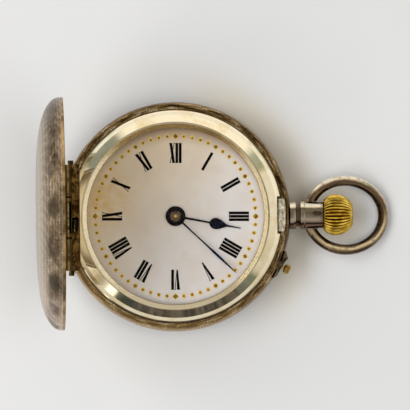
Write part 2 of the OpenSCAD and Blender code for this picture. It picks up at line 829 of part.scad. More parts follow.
module pin_guard() {
    guard_in_r = band_r + 0.02;
    // height over the band, and angle from the push-piece
    profile = [
        [-0.6, 8.5], [0.2, 7.5], [0.82, 4.8], [0.55, 2.5], [0.38, -2], [0.42, -5], [0.1, -7], [-0.6, -7.5]
    ];
    color("#a59a8a")
    difference() {
        translate([0, 0, pin_z - guard_h / 2]) linear_extrude(guard_h) difference() {
            polygon([for (p = profile) polar(guard_in_r + p[0], pin_angle + p[1])]);
            circle(guard_in_r, $fn = 128);
        }
        // room for the head, also when it is pushed in
        along_pin() cylinder(h = 2 * band_r, r = pin_head_r + part_gap);
    }
}

// Dial and hands

module dial() {
    foot_z = plate_z + 0.3;
    color("#e6ddcf") {
        translate([0, 0, dial_z]) difference() {
            cylinder(h = dial_t, r = dial_r, $fn = 128);
            translate([0, 0, -1]) cylinder(h = dial_t + 2, r = hour_pipe_r + part_gap);
        }
        for (a = dial_foot_angles) {
            place(polar(dial_foot_at, a)) cylinder_from_to(foot_z, dial_z + eps, dial_foot_r);
        }
    }
}

// A hand: a round boss with an arm, bored for the pipe that carries it.
// Each point of the arm is its distance from the centre and its half-width.
module hand(angle, z, boss_r, bore_r, points) {
    rotate(angle) translate([0, 0, z]) difference() {
        union() {
            cylinder(h = hand_t, r = boss_r);
            linear_extrude(hand_t)
                polygon(concat(points, [for (p = reversed(points)) [p[0], -p[1]]]));
        }
        translate([0, 0, -hand_t]) cylinder(h = 3 * hand_t, r = bore_r + press_gap);
    }
}

module hour_hand() {
    arm_w = 0.13;
    pear_from = hour_hand_l * 0.52;
    pear_l = hour_hand_l * 0.27;
    pear_w = 0.75;
    color("#1a1d2b") hand(hour_angle, hour_hand_z, hour_boss_r, hour_pipe_r, concat(
        [[hour_pipe_r + 0.1, 0.18], [pear_from, arm_w]],
        [for (t = [0.06:0.09:0.96]) [pear_from + pear_l * t, arm_w + pear_w * sin(180 * pow(t, 0.65))]],
        [[hour_hand_l * 0.84, 0.12], [hour_hand_l, 0.06]]
    ));
}

module minute_hand() {
    // share of the hand's length, and half its width there
    profile = [[0.35, 0.1], [0.55, 0.13], [0.7, 0.21], [0.85, 0.14], [1, 0.05]];
    color("#1a1d2b") hand(minute_angle, minute_hand_z, cannon_r + 0.38, cannon_r,
        concat([[cannon_r + 0.1, 0.16]], [for (p = profile) [minute_hand_l * p[0], p[1]]]));
}

module hour_wheel() {
    wheel_h = 0.15;
    color("#c8a95a") difference() {
        union() {
            translate([0, 0, hour_wheel_z]) linear_extrude(wheel_h) difference() {
                gear_2d(hour_teeth, hour_module);
                circle(cannon_r + 0.1);
            }
            cylinder_from_to(hour_wheel_z, hour_hand_z + hand_t, hour_pipe_r);
        }
        drill(centre_at, cannon_r + run_gap);
    }
}

module cannon_pinion() {
    foot_z = plate_top_z + seam;
    leaf_h = 0.24;
    color("#9aa0a4") difference() {
        union() {
            translate([0, 0, foot_z]) linear_extrude(leaf_h)
                pinion_2d(cannon_leaves, minute_module, line_of(centre_at, minute_at));
            cylinder_from_to(foot_z, minute_hand_z + 0.2, cannon_r);
        }
        drill(centre_at, arbor_r + run_gap);
    }
}

module minute_wheel() {
    face = line_of(minute_at, centre_at);
    wheel_h = 0.18;
    leaf_h = 0.27;
    color("#c8a95a") difference() {
        place(minute_at, minute_wheel_z) {
            linear_extrude(wheel_h) gear_2d(minute_teeth, minute_module, face + 180 / minute_teeth);
            translate([0, 0, wheel_h]) linear_extrude(leaf_h)
                pinion_2d(minute_leaves, hour_module, face + minute_phase());
        }
        drill(minute_at, arbor_r + run_gap);
    }
}

// Turn that puts a gap of the minute pinion against a tooth of the hour wheel
function minute_phase() = let (
    pitch = 360 / hour_teeth,
    off = line_of(centre_at, minute_at) / pitch,
    share = off - round(off)
) (0.5 - share) * 360 / minute_leaves;

module setting_lever() {
    arm_w = 0.35;
    lever_t = 0.3;
    // the tail rests against the push-piece's inner end
    tail = polar(pin_in_r - seam - arm_w, pin_angle);
    color("#8d949a") translate([0, 0, plate_top_z + seam]) linear_extrude(lever_t) difference() {
        union() {
            arm_2d(setting_pivot, tail, arm_w);
            arm_2d(setting_pivot, setting_nose, arm_w);
            translate(setting_pivot) circle(2 * arm_w);
        }
        translate(setting_pivot) circle(arbor_r + run_gap);
    }
}

// Movement

// Solid of the plate: disc, flange, the ring that the dial rests on, and posts
module plate_body() {
    post_z = plate_z + 0.3;
    cylinder_from_to(plate_z, plate_top_z, movement_r, $fn = 128);
    cylinder_from_to(ledge_top_z + 0.02, plate_top_z, flange_r, $fn = 128);
    difference() {
        cylinder_from_to(plate_top_z - eps, dial_z - 0.02, dial_r, $fn = 128);
        cylinder_from_to(plate_top_z - 1, dial_z, dial_rest_r, $fn = 128);
    }
    for (at = [minute_at, setting_pivot]) {
        place(at) cylinder_from_to(post_z, plate_top_z + 0.5, arbor_r);
    }
    // post on which the crown wheel turns
    place(crown_wheel_at) cylinder_from_to(wheel_z, plate_z + eps, crown_post_r);
}

module mainplate() {
    room = winding_tip_r + part_gap;
    color("#b9a36b")
    difference() {
        plate_body();
        // recess for the barrel, and holes for the arbors
        drill(barrel_at, wheel_tip_r(barrel_teeth, barrel_module) + part_gap, plate_z + barrel_recess);
        drill(barrel_at, barrel_pivot_r + run_gap, plate_z + barrel_recess + 0.2);
        drill(centre_at, arbor_r + run_gap);
        for (at = [third_at, fourth_at, escape_at, pallet_at, balance_at]) {
            drill(at, pivot_r + run_gap, plate_z + pivot_l + seam);
        }
        // window for the winding pinion, and the stem's bed
        block(pinion_x - 2 * part_gap, pinion_x + pinion_l + 2 * part_gap, -room, room, 0, over_z);
        rod_x(crown_wheel_at[0] + crown_post_r + 0.1, 2 * band_r, stem_r + run_gap);
        drill(crown_wheel_at, screw_shank_r + press_gap, wheel_z + winding_screw_l);
        // slot for the push-piece and the tail of the setting lever
        rotate(pin_angle) block(movement_r - 1.9, 2 * band_r, -1.8, 1.3, pin_z - 0.45, over_z);
        for (a = dial_foot_angles) {
            drill(polar(dial_foot_at, a), dial_foot_r + press_gap);
        }
        for (at = concat(bridge_feet, bar_feet, [pallet_foot])) {
            drill(at, screw_shank_r + press_gap, plate_z + screw_hole_l);
        }
        for (a = case_screw_angles) {
            drill(polar(case_screw_at, a), screw_shank_r + press_gap, plate_z + screw_hole_l + 0.1);
        }
    }
}

// A bar with its foot on the plate, its screw's hole and a seat for one jewel
module bar(foot, pivot, r) {
    color("#c9b37c") difference() {
        union() {
            translate([0, 0, bridge_z]) linear_extrude(bridge_t) bar_2d(foot, pivot, r);
            place(foot) cylinder_from_to(bridge_z, plate_z - eps, foot_post_r);
        }
        drill(foot, screw_shank_r + press_gap);
        drill(pivot, pivot_r + run_gap, plate_z);
        drill(pivot, jewel_r + press_gap, bridge_z + jewel_t);
    }
}

module centre_bar() {
    bar(centre_foot, centre_at, wide_bar_r);
}

module third_bar() {
    bar(third_foot, third_at, bar_r);
}

module fourth_bar() {
    bar(fourth_foot, fourth_at, bar_r);
}

module escape_bar() {
    bar(escape_foot, escape_at, bar_r);
}

module balance_cock() {
    bar(balance_foot, balance_at, cock_r);
}

module pallet_cock() {
    z0 = plate_z - balance_level + 0.1;
    z1 = plate_z - fork_level - wheel_t - 0.1;
    color("#c9b37c") difference() {
        union() {
            translate([0, 0, z0]) linear_extrude(z1 - z0) bar_2d(pallet_foot, pallet_at, pallet_bar_r);
            place(pallet_foot) cylinder_from_to(z0, plate_z - eps, pallet_post_r);
        }
        drill(pallet_foot, screw_shank_r + press_gap);
        drill(pallet_at, pivot_r + run_gap);
    }
}

module bridge_outline_2d() {
    translate(barrel_at) circle(34.5 * unit_r);
    translate(crown_wheel_at) circle(contrate_r + foot_post_r);
    arm_2d(barrel_at, bridge_feet[0], bridge_arm_r);
    arm_2d(barrel_at, bridge_feet[1], bridge_arm_r);
    arm_2d(crown_wheel_at, bridge_feet[2], bridge_arm_r);
}

module barrel_bridge() {
    color("#c9b37c") difference() {
        union() {
            translate([0, 0, bridge_z]) linear_extrude(bridge_t) bridge_outline_2d();
            for (foot = bridge_feet) {
                place(foot) cylinder_from_to(bridge_z, plate_z - eps, foot_post_r);
            }
        }
        for (foot = bridge_feet) {
            drill(foot, screw_shank_r + press_gap);
        }
        drill(barrel_at, barrel_hub_r + run_gap);
        // opening that the crown wheel's contrate ring passes through
        drill(crown_wheel_at, contrate_r + contrate_w / 2 + part_gap);
    }
    // post on which the click rocks
    color("#c9b37c") place(click_at) cylinder_from_to(wheel_z - seam, bridge_z + eps, click_post_r);
}

// Barrel and winding work

module barrel() {
    face = line_of(barrel_at, centre_at);
    drum_top_z = plate_z + barrel_recess - seam;
    color("#d2b463") difference() {
        place(barrel_at) {
            translate([0, 0, barrel_z]) linear_extrude(barrel_wheel_t)
                gear_2d(barrel_teeth, barrel_module, face);
            cylinder_from_to(barrel_z, drum_top_z, drum_r);
        }
        place(barrel_at) cylinder_from_to(barrel_z + barrel_wheel_t, drum_top_z - 0.2, drum_r - drum_wall);
        drill(barrel_at, barrel_hub_r + run_gap);
    }
}

module mainspring() {
    strip_w = barrel_level + 0.02;
    half_t = 0.1;
    color("#5d6b7a") place(barrel_at, plate_z - barrel_level + seam) linear_extrude(strip_w)
        polygon(spiral(barrel_hub_r + 0.5, drum_r - drum_wall - part_gap, 7, half_t));
}

module barrel_arbor() {
    color("#8d949a") difference() {
        place(barrel_at) {
            cylinder_from_to(wheel_z, plate_z + 0.1, barrel_hub_r);
            cylinder_from_to(wheel_z, plate_z + barrel_recess + part_gap, barrel_pivot_r);
        }
        drill(barrel_at, screw_shank_r + press_gap, wheel_z + winding_screw_l);
    }
}

// Outline of a winding wheel
module spur_2d(n, turn) {
    polygon(teeth(n, wheel_root_r(n, spur_module), wheel_tip_r(n, spur_module), 0.38, 0.14, turn));
}

module ratchet_wheel() {
    color("#9aa0a4") difference() {
        place(barrel_at, wheel_z) linear_extrude(winding_wheel_t)
            spur_2d(ratchet_teeth, line_of(barrel_at, crown_wheel_at));
        drill(barrel_at, barrel_hub_r + press_gap);
    }
}

module crown_wheel() {
    step = 360 / contrate_teeth;
    bore_r = contrate_r - contrate_w / 2;
    root_z = contrate_top_z - 0.3;
    tooth_w = 0.2;
    tooth_inset = 0.03;
    color("#9aa0a4") place(crown_wheel_at) difference() {
        union() {
            translate([0, 0, wheel_z]) linear_extrude(winding_wheel_t)
                spur_2d(crown_teeth, line_of(crown_wheel_at, barrel_at) + 180 / crown_teeth);
            cylinder_from_to(wheel_z, root_z, contrate_r + contrate_w / 2);
            // teeth that stand up and meet the winding pinion
            for (i = [0:contrate_teeth - 1]) {
                rotate((i + 0.5) * step) block(bore_r + tooth_inset, bore_r + contrate_w - tooth_inset,
                    -tooth_w / 2, tooth_w / 2, root_z - 0.1, contrate_top_z);
            }
        }
        cylinder_from_to(wheel_z + winding_wheel_t, plate_z, bore_r);
        cylinder_from_to(0, plate_z, crown_post_r + run_gap);
    }
}

// Screws that hold the crown wheel on its post and the ratchet wheel on the barrel's arbor
module winding_screw(at) {
    head_top_z = wheel_z - 0.02;
    color("#2f3a5a") place(at) {
        cylinder_from_to(head_top_z - screw_head_t, head_top_z, winding_head_r);
        cylinder_from_to(head_top_z - eps, head_top_z - eps + winding_screw_l, screw_shank_r);
    }
}

module crown_wheel_screw() {
    winding_screw(crown_wheel_at);
}

module ratchet_screw() {
    winding_screw(barrel_at);
}

module winding_pinion() {
    root_r = winding_tip_r - 0.32;
    color("#9aa0a4") along_stem(pinion_x) linear_extrude(pinion_l) difference() {
        polygon(teeth(winding_leaves, root_r, winding_tip_r, 0.4, 0.2));
        circle(stem_r + press_gap);
    }
}

module click() {
    face = line_of(click_at, barrel_at);
    boss_r = 0.7;
    color("#9aa0a4") difference() {
        place(click_at, wheel_z) linear_extrude(winding_wheel_t) rotate(face) {
            circle(boss_r);
            // pawl that drops into the ratchet's teeth
            polygon(boss_r * [[0, -1], [1.64, -0.89], [1.86, -0.5], [0.86, 0.7], [0, 1]]);
        }
        drill(click_at, click_post_r + run_gap);
    }
}

module click_spring() {
    blade_l = 2.1;
    blade_w = 0.16;
    foot_w = 0.35;
    color("#7c858c") place(click_at, wheel_z) rotate(line_of(click_at, barrel_at))
        translate([-1.5, 1.15, 0]) linear_extrude(winding_wheel_t - seam) {
            square([blade_l, blade_w]);
            circle(foot_w);
        }
}

// Train

// A wheel and its pinion on one arbor. The pinion spans the wheel that drives it.
module train_wheel(at, n, m, level, drive_n, drive_m, drive_level, drive_t, drive_at, aim_at, hub = 0.7) {
    pinion_z = plate_z - drive_level - drive_t - leaf_over;
    place(at, plate_z - level - wheel_t) linear_extrude(wheel_t) wheel_2d(n, m, line_of(at, aim_at), hub);
    place(at, pinion_z) linear_extrude(drive_t + 2 * leaf_over)
        pinion_2d(drive_n, drive_m, line_of(at, drive_at) + 180 / drive_n);
    arbor(at);
}

module centre_wheel() {
    color("#d2b463") {
        train_wheel(centre_at, wheel_teeth, centre_module, centre_level,
            leaves, barrel_module, barrel_level, barrel_wheel_t, barrel_at, third_at, 0.9);
        cylinder_from_to(plate_z - 0.5, minute_hand_z + hand_t, arbor_r);
    }
}

module third_wheel() {
    color("#d2b463") train_wheel(third_at, third_teeth, third_module, third_level,
        leaves, centre_module, centre_level, wheel_t, centre_at, fourth_at);
}

module fourth_wheel() {
    color("#d2b463") train_wheel(fourth_at, wheel_teeth, fourth_module, fourth_level,
        leaves, third_module, third_level, wheel_t, third_at, escape_at, 0.6);
}

module escape_wheel() {
    root_r = escape_r * 0.787;
    hub = 0.4;
    arm_w = 0.2;
    step = 360 / escape_teeth;
    // share of the wheel's radius, and share of a tooth's step
    tooth = [[0.787, 0], [0.966, 0.375], [1, 0.4], [0.979, 0.5], [0.787, 0.33]];
    color("#c9cdd0") {
        arbor(escape_at, 0.2);
        place(escape_at, plate_z - fork_level - wheel_t) linear_extrude(wheel_t) {
            difference() {
                polygon([
                    for (i = [0:escape_teeth - 1])
                        for (c = tooth)
                            polar(escape_r * c[0], (i + c[1]) * step)
                ]);
                circle(root_r - 0.25);
            }
            circle(hub);
            for (a = [0:90:270]) {
                rotate(a) translate([hub / 2, -arm_w / 2]) square([root_r - hub + 0.1, arm_w]);
            }
        }
        place(escape_at, plate_z - fourth_level - wheel_t - leaf_over)
            linear_extrude(wheel_t + 2 * leaf_over)
                pinion_2d(escape_leaves, fourth_module, line_of(escape_at, fourth_at) + 180 / escape_leaves);
    }
}

// Fork with two pallets on one side and a notch for the impulse pin on the other
module pallet_fork() {
    notch_x = fork_l - roller_r - part_gap;
    hub = 0.35;
    arm_w = 0.24;
    horn_w = 0.64;
    horn_t = 0.2;
    pallet = [-4.14 * unit_r, 8.97 * unit_r];
    color("#c9cdd0") {
        place(pallet_at, plate_z - fork_level - wheel_t) linear_extrude(wheel_t) rotate(line_angle) {
            circle(hub);
            translate([0, -arm_w / 2]) square([notch_x - horn_t, arm_w]);
            translate([notch_x - horn_t - 0.05, -horn_w / 2]) square([horn_t, horn_w]);
            both_sides() {
                translate([notch_x - horn_t / 2, 0.18]) square([horn_t, 0.14]);
                arm_2d([0, 0], pallet, arm_w / 2);
                translate(pallet) rotate(-60) translate([-0.42, -0.1]) square([0.5, 0.2]);
            }
        }
        place(pallet_at) {
            cylinder_from_to(plate_z - balance_level + 0.12, plate_z + pivot_l - 0.08, pivot_r);
            cylinder_from_to(plate_z - fork_level - wheel_t - 0.08, plate_z - 0.11, arbor_r - seam);
        }
    }
}

module balance() {
    rim_t = 0.3;
    rim_in_r = balance_r - 0.5;
    arm_w = 0.5;
    arm_l = balance_r + rim_in_r;
    screws = 16;
    screw_l = 0.22;
    screw_w = 0.36;
    roller_z = plate_z - fork_level - wheel_t - 0.28;
    color("#d2b463") {
        arbor(balance_at, 0.2);
        place(balance_at, plate_z - balance_level - rim_t) linear_extrude(rim_t) {
            difference() {
                circle(balance_r);
                circle(rim_in_r);
            }
            circle(roller_r + 0.02);
            rotate(line_angle + 90) square([arm_l, arm_w], center = true);
            // timing screws round the rim
            for (i = [0:screws - 1]) {
                rotate((i + 0.5) * 360 / screws) translate([balance_r - 0.1, -screw_w / 2])
                    square([screw_l + 0.1, screw_w]);
            }
        }
        // roller
        place(balance_at, roller_z) cylinder(h = 0.18, r = roller_r);
    }
}

module hairspring() {
    strip_w = 0.14;
    half_t = 0.035;
    color("#3b4a6b") place(balance_at, plate_z - spring_level - strip_w) linear_extrude(strip_w)
        polygon(spiral(0.45, balance_r * 0.475, 7, half_t));
}

module regulator() {
    boss_r = 0.85;
    arm_l = 18 * unit_r;
    arm_w = 0.24;
    plate_h = 0.12;
    color("#9aa0a4") place(balance_at, bridge_z - plate_h - 0.02) linear_extrude(plate_h) difference() {
        union() {
            circle(boss_r);
            rotate(line_of(balance_at, balance_foot) + 140)
                translate([0, -arm_w / 2]) square([arm_l, arm_w]);
        }
        circle(jewel_r + seam);
    }
}

module jewels() {
    color("#a5303c") for (at = bar_pivots) {
        difference() {
            place(at) cylinder_from_to(bridge_z, bridge_z + jewel_t, jewel_r);
            drill(at, pivot_r + run_gap);
        }
    }
}

module bridge_screws() {
    head_top_z = bridge_z - 0.02;
    pallet_z = plate_z - balance_level + 0.08;
    shank_top_z = plate_z + screw_hole_l - 0.07;
    color("#2f3a5a") {
        for (at = concat(bridge_feet, bar_feet)) {
            place(at) {
                cylinder_from_to(head_top_z - screw_head_t, head_top_z, screw_head_r);
                cylinder_from_to(head_top_z - eps, shank_top_z, screw_shank_r);
            }
        }
        place(pallet_foot) {
            cylinder_from_to(pallet_z - 0.2, pallet_z, 0.5);
            cylinder_from_to(pallet_z - eps, shank_top_z, screw_shank_r);
        }
    }
}

module case_screws() {
    head_top_z = ledge_z - 0.02;
    color("#2f3a5a") for (a = case_screw_angles) {
        place(polar(case_screw_at, a)) {
            cylinder_from_to(head_top_z - screw_head_t, head_top_z, 1.1);
            cylinder_from_to(head_top_z - 0.08, plate_z + screw_hole_l, screw_shank_r);
        }
    }
}

case_middle();
pendant();
bezel();
crystal();
front_cover();
front_hinge_pin();
back_cover();
cuvette();
back_hinge_pin();
lock_spring();
lift_spring();
spring_screws();
bow();
crown();
stem();
pin_set();
pin_guard();
dial();
hour_hand();
minute_hand();
hour_wheel();
cannon_pinion();
minute_wheel();
setting_lever();
mainplate();
barrel_bridge();
centre_bar();
third_bar();
fourth_bar();
escape_bar();
balance_cock();
pallet_cock();
barrel();
mainspring();
barrel_arbor();
ratchet_wheel();
crown_wheel();
winding_pinion();
click();
click_spring();
crown_wheel_screw();
ratchet_screw();
centre_wheel();
third_wheel();
fourth_wheel();
escape_wheel();
pallet_fork();
balance();
hairspring();
regulator();
jewels();
bridge_screws();
case_screws();
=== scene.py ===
"""A full hunter fob watch with its front cover standing open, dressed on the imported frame."""
import json
import math
import random

import bmesh
import bpy
from mathutils import Matrix, Vector

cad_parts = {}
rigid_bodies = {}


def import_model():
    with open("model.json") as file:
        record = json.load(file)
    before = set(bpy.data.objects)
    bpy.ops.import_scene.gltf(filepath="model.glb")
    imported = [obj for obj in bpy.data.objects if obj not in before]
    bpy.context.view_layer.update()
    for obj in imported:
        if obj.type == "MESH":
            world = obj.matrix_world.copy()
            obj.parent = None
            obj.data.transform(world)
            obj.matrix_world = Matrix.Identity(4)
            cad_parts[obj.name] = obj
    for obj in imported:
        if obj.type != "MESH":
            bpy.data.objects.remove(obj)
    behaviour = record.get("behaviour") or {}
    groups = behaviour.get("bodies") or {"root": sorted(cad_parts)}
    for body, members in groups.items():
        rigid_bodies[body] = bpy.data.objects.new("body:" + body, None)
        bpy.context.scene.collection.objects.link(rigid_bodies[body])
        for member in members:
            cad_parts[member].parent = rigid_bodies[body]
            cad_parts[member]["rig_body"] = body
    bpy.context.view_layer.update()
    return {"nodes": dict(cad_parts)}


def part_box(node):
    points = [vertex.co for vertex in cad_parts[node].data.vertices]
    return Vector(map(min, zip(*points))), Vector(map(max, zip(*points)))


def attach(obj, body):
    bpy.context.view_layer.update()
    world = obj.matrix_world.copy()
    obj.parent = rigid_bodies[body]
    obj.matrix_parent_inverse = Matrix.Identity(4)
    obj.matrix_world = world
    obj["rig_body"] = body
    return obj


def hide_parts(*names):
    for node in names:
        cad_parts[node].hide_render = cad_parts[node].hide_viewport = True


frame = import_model()
NODES = frame["nodes"]
MM = 0.001
rng = random.Random(7)

# Places and sizes in millimetres: +X points to the crown, and the dial's axis is at 0
DIAL_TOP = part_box("dial")[1].z / MM
PLATE_Z = DIAL_TOP - 2.0
STEM_Z = PLATE_Z - 0.1
BACK_RIM_Z = PLATE_Z - 1.4
COVER_R = 17.9
FRONT_RISE, BACK_RISE = 4.2, 3.6
BAND_R = 18.05
DOT_R = 12.6
# Gilt ring: its two edges, and where its inner lip ends
RING_IN_R, RING_OUT_R = 13.92, 16.72
LIP_R = 14.5
# Hinge: its axis, how far the front cover stands open, and the straight cut of the covers beside it
HINGE_X = -17.0
FRONT_AXIS = Vector((HINGE_X, 0, 6.0))
FRONT_OPEN = math.radians(87)
COVER_CUT_X = -16.38
# Pendant's neck, and the middle of its punch mark along the stem and round it
NECK_R = 2.16
MARK_X, MARK_Y = 22.08, 0.2
# Middle of the bow's loop, and its half sizes
BOW_X = 26.9
BOW_HALF_X, BOW_HALF_Y = 6.4, 5.46
# The dial sits a little clockwise of the case
DIAL_TURN = math.radians(0.7)


# Colour and materials

def srgb(text):
    """Linear RGBA of a colour written as hex."""
    out = []
    for i in (0, 2, 4):
        c = int(text[i:i + 2], 16) / 255
        out.append(c / 12.92 if c <= 0.04045 else ((c + 0.055) / 1.055) ** 2.4)
    return (*out, 1.0)


class Graph:
    """A node tree that is filled by short calls."""

    def __init__(self, tree):
        self.tree = tree

    def put(self, socket, value):
        """Links a socket or sets it. Text is a colour in hex."""
        if isinstance(value, bpy.types.NodeSocket):
            self.tree.links.new(value, socket)
        else:
            socket.default_value = srgb(value) if isinstance(value, str) else value

    def node(self, kind, inputs=(), out=0, **props):
        """Adds a node and gives one of its outputs."""
        n = self.tree.nodes.new("ShaderNode" + kind)
        for key, value in props.items():
            setattr(n, key, value)
        for key, value in dict(inputs).items():
            self.put(n.inputs[key], value)
        return n.outputs[out]

    def math(self, op, a, b=0.0):
        return self.node("Math", {0: a, 1: b}, operation=op)

    def add(self, a, b):
        return self.math("ADD", a, b)

    def times(self, a, b):
        return self.math("MULTIPLY", a, b)

    def sine(self, a):
        return self.math("SINE", a)

    def radius(self, a, b):
        """Distance from 0 of a point with two coordinates."""
        return self.node("VectorMath", {0: self.node("CombineXYZ", {0: a, 1: b})}, out=1, operation="LENGTH")

    def oval(self, a, half_a, b, half_b, power=2.0):
        """1 on an oval of two half sizes, and less inside it."""
        return self.add(self.math("POWER", self.times(a, 1 / half_a), power),
                        self.math("POWER", self.times(b, 1 / half_b), 2.0))

    def split(self, v):
        """The x, y and z of a vector."""
        n = self.tree.nodes.new("ShaderNodeSeparateXYZ")
        self.put(n.inputs[0], v)
        return n.outputs

    def step(self, value, a, b):
        """Smooth step from 0 at a to 1 at b."""
        ends = {0: value, 1: a, 2: b, 3: 0.0, 4: 1.0}
        return self.node("MapRange", ends, interpolation_type="SMOOTHSTEP")

    def window(self, value, a, b, soft):
        """1 between a and b, with soft edges."""
        return self.times(self.step(value, a - soft, a + soft), self.step(value, b + soft, b - soft))

    def remap(self, value, a, b, c, d):
        """Straight from c at a to d at b, and level beyond them."""
        return self.node("MapRange", {0: value, 1: a, 2: b, 3: c, 4: d})

    def ramp(self, fac, stops):
        """Colour between stops of (value, hex)."""
        n = self.tree.nodes.new("ShaderNodeValToRGB")
        self.put(n.inputs[0], fac)
        elements = n.color_ramp.elements
        while len(elements) < len(stops):
            elements.new(0.5)
        for element, (at, colour) in zip(elements, stops):
            element.position = at
            element.color = srgb(colour)
        return n.outputs[0]

    def mix(self, fac, a, b, blend="MIX"):
        n = self.tree.nodes.new("ShaderNodeMix")
        n.data_type = "RGBA"
        n.blend_type = blend
        self.put(n.inputs[0], fac)
        self.put(n.inputs[6], a)
        self.put(n.inputs[7], b)
        return n.outputs[2]


class Mat(Graph):
    """A Principled material."""

    def __init__(self, name, colour, rough, metal, **sockets):
        self.data = bpy.data.materials.new(name)
        self.data.use_nodes = True
        super().__init__(self.data.node_tree)
        self.bsdf = self.tree.nodes["Principled BSDF"]
        self.set("Base Color", colour)
        self.set("Roughness", rough)
        self.set("Metallic", metal)
        for key, value in sockets.items():
            self.set(key.replace("_", " "), value)

    def set(self, socket, value):
        self.put(self.bsdf.inputs[socket], value)

    def mm(self, scale=(1, 1, 1), shift=(0, 0, 0), turn=(0, 0, 0)):
        """Object coordinates in millimetres, scaled, turned and then shifted."""
        where = self.node("TexCoord", out=3)
        return self.node("Mapping", {0: where, 1: shift, 2: turn, 3: [1000 * s for s in scale]})

    def noise(self, scale, detail=3.0, rough=0.55, where=None):
        return self.node("TexNoise", {"Vector": where or self.mm(), "Scale": scale, "Detail": detail,
                                      "Roughness": rough})

    def wander(self, scale, detail, low, high):
        """A value that wanders between two others."""
        return self.remap(self.noise(scale, detail), 0.3, 0.7, low, high)

    def cloud(self, scale, a, b, detail=4.0, where=None, top=1.0):
        """Noise as a soft mask from 0 to top."""
        return self.times(self.step(self.noise(scale, detail, 0.6, where), a, b), top)

    def bump(self, height, strength, distance):
        return self.node("Bump", {"Height": height, "Strength": strength, "Distance": distance * MM})

    def relief(self):
        """How far a ridge stands out, as turned() and milled_ring() keep it on the mesh."""
        return self.node("Attribute", out=2, attribute_name="relief")

    def polar(self, where=None):
        """Radius, angle and height about the dial's axis, and x and y."""
        x, y, z = self.split(where or self.mm())
        return self.radius(x, y), self.math("ARCTAN2", y, x), z, x, y


def worn_metal(name, light, dark, rough, spread, scale, scratch, patches):
    """Polished metal with soft patches of tarnish, uneven gloss and fine scratches."""
    m = Mat(name, light, rough, 1.0)
    m.set("Base Color", m.mix(m.cloud(scale, *patches, 5), light, dark))
    m.set("Roughness", m.wander(scale * 3.1, 4, rough - spread, rough + spread))
    m.set("Normal", m.bump(m.noise(22, 2, 0.6, m.mm((1, 0.12, 1))), scratch, 0.012))
    return m


def gilt_ring():
    """Cream gilding, deeper on the inner lip and deeper gold beside the hinge, with a painted dark reflection
    on the lip's upper side and painted shade in the groove and along the ring's inner and outer edges.
    """
    m = Mat("gilt_ring", "F8EAC9", 0.1, 1.0)
    r, _, _, x, y = m.polar()
    beyond_lip = m.add(r, -LIP_R)
    tint = m.mix(m.cloud(0.25, 0.42, 0.7, 5), "F9EDD0", "EAD7AC")
    lip = m.mix(m.step(x, 3, 9), "F4E4BE", "E6D3A8")
    # Painted dark reflection on the lip's upper side
    lip = m.mix(m.step(y, 7, 12), lip, "9A7F50")
    tint = m.mix(m.step(beyond_lip, 0.12, 0), tint, lip)
    # Painted shade in the groove beside the lip, then along the ring's inner and outer edges
    tint = m.mix(m.times(m.window(beyond_lip, 0.06, 0.3, 0.05), 0.5), tint, "8A7040")
    tint = m.mix(m.step(r, RING_IN_R + 0.1, RING_IN_R), tint, "A08048")
    tint = m.mix(m.times(m.step(r, RING_OUT_R - 0.12, RING_OUT_R), 0.8), tint, "6E5630")
    tint = m.mix(m.times(m.step(x, -14.4, -16.2), m.cloud(0.6, 0.35, 0.6, 4)), tint, "E0C080")
    grime = m.times(m.cloud(1.5, 0.62, 0.8, 5, top=0.4), m.step(beyond_lip, 0.1, 0.4))
    m.set("Base Color", m.mix(grime, tint, "A68B54"))
    m.set("Roughness", m.wander(0.35, 2, 0.07, 0.14))
    m.set("Normal", m.bump(m.noise(7, 3, 0.6), m.times(m.step(beyond_lip, 0, 0.4), 0.06), 0.01))
    return m


def hinge_bronze(m, x, y):
    """Dark bronze of the knuckles and of the plate beside them, with wear and rust in patches, a broken
    painted highlight along the knuckles' top, and painted shade in their joints and where they meet the
    plate.
    """
    off = m.add(x, -HINGE_X)
    streaks = m.cloud(1.3, 0.38, 0.62, 5, m.mm((1, 0.3, 1)))
    plate = m.mix(streaks, "9A7A46", "4E3819")
    plate = m.mix(m.cloud(1.1, 0.47, 0.57, 4, top=0.85), plate, "34180A")
    # Knuckles: a broken painted highlight along their top, and painted shade in their joints and where they
    # meet the plate
    knuckles = m.mix(streaks, "6E5A36", "46351C")
    painted_highlight = m.cloud(0.9, 0.36, 0.56, 4, m.mm((0.2, 1, 0.2)), 0.8)
    knuckles = m.mix(m.times(m.window(off, 0, 0.28, 0.1), painted_highlight), knuckles, "B4A074")
    joints = m.window(m.math("ABSOLUTE", y), 3.05, 3.4, 0.1)
    knuckles = m.mix(m.times(joints, 0.9), knuckles, "160E06")
    knuckles = m.mix(m.times(m.step(off, 0.58, 0.78), 0.8), knuckles, "1C1208")
    return m.mix(m.step(off, 0.8, 0.7), plate, knuckles)


def milled_band():
    """Dark patina on the band, with bronze at the hinge."""
    m = Mat("milled_band", "6B5434", 0.34, 1.0)
    x, y, _ = m.split(m.mm())
    grain = m.noise(3.2, 5, 0.68, m.mm((1, 1, 0.5)))
    shade = m.ramp(m.remap(grain, 0.2, 0.8, 0, 1), [(0, "2A1E14"), (0.5, "5A462E"), (1, "9E8562")])
    hinge = m.times(m.step(x, -15.0, -15.3), m.step(m.math("ABSOLUTE", y), 8.8, 8.2))
    m.set("Base Color", m.mix(hinge, shade, hinge_bronze(m, x, y)))
    m.set("Roughness", m.remap(grain, 0.3, 0.7, 0.24, 0.42))
    m.set("Normal", m.bump(grain, m.remap(hinge, 0, 1, 0.45, 0.2), 0.05))
    return m


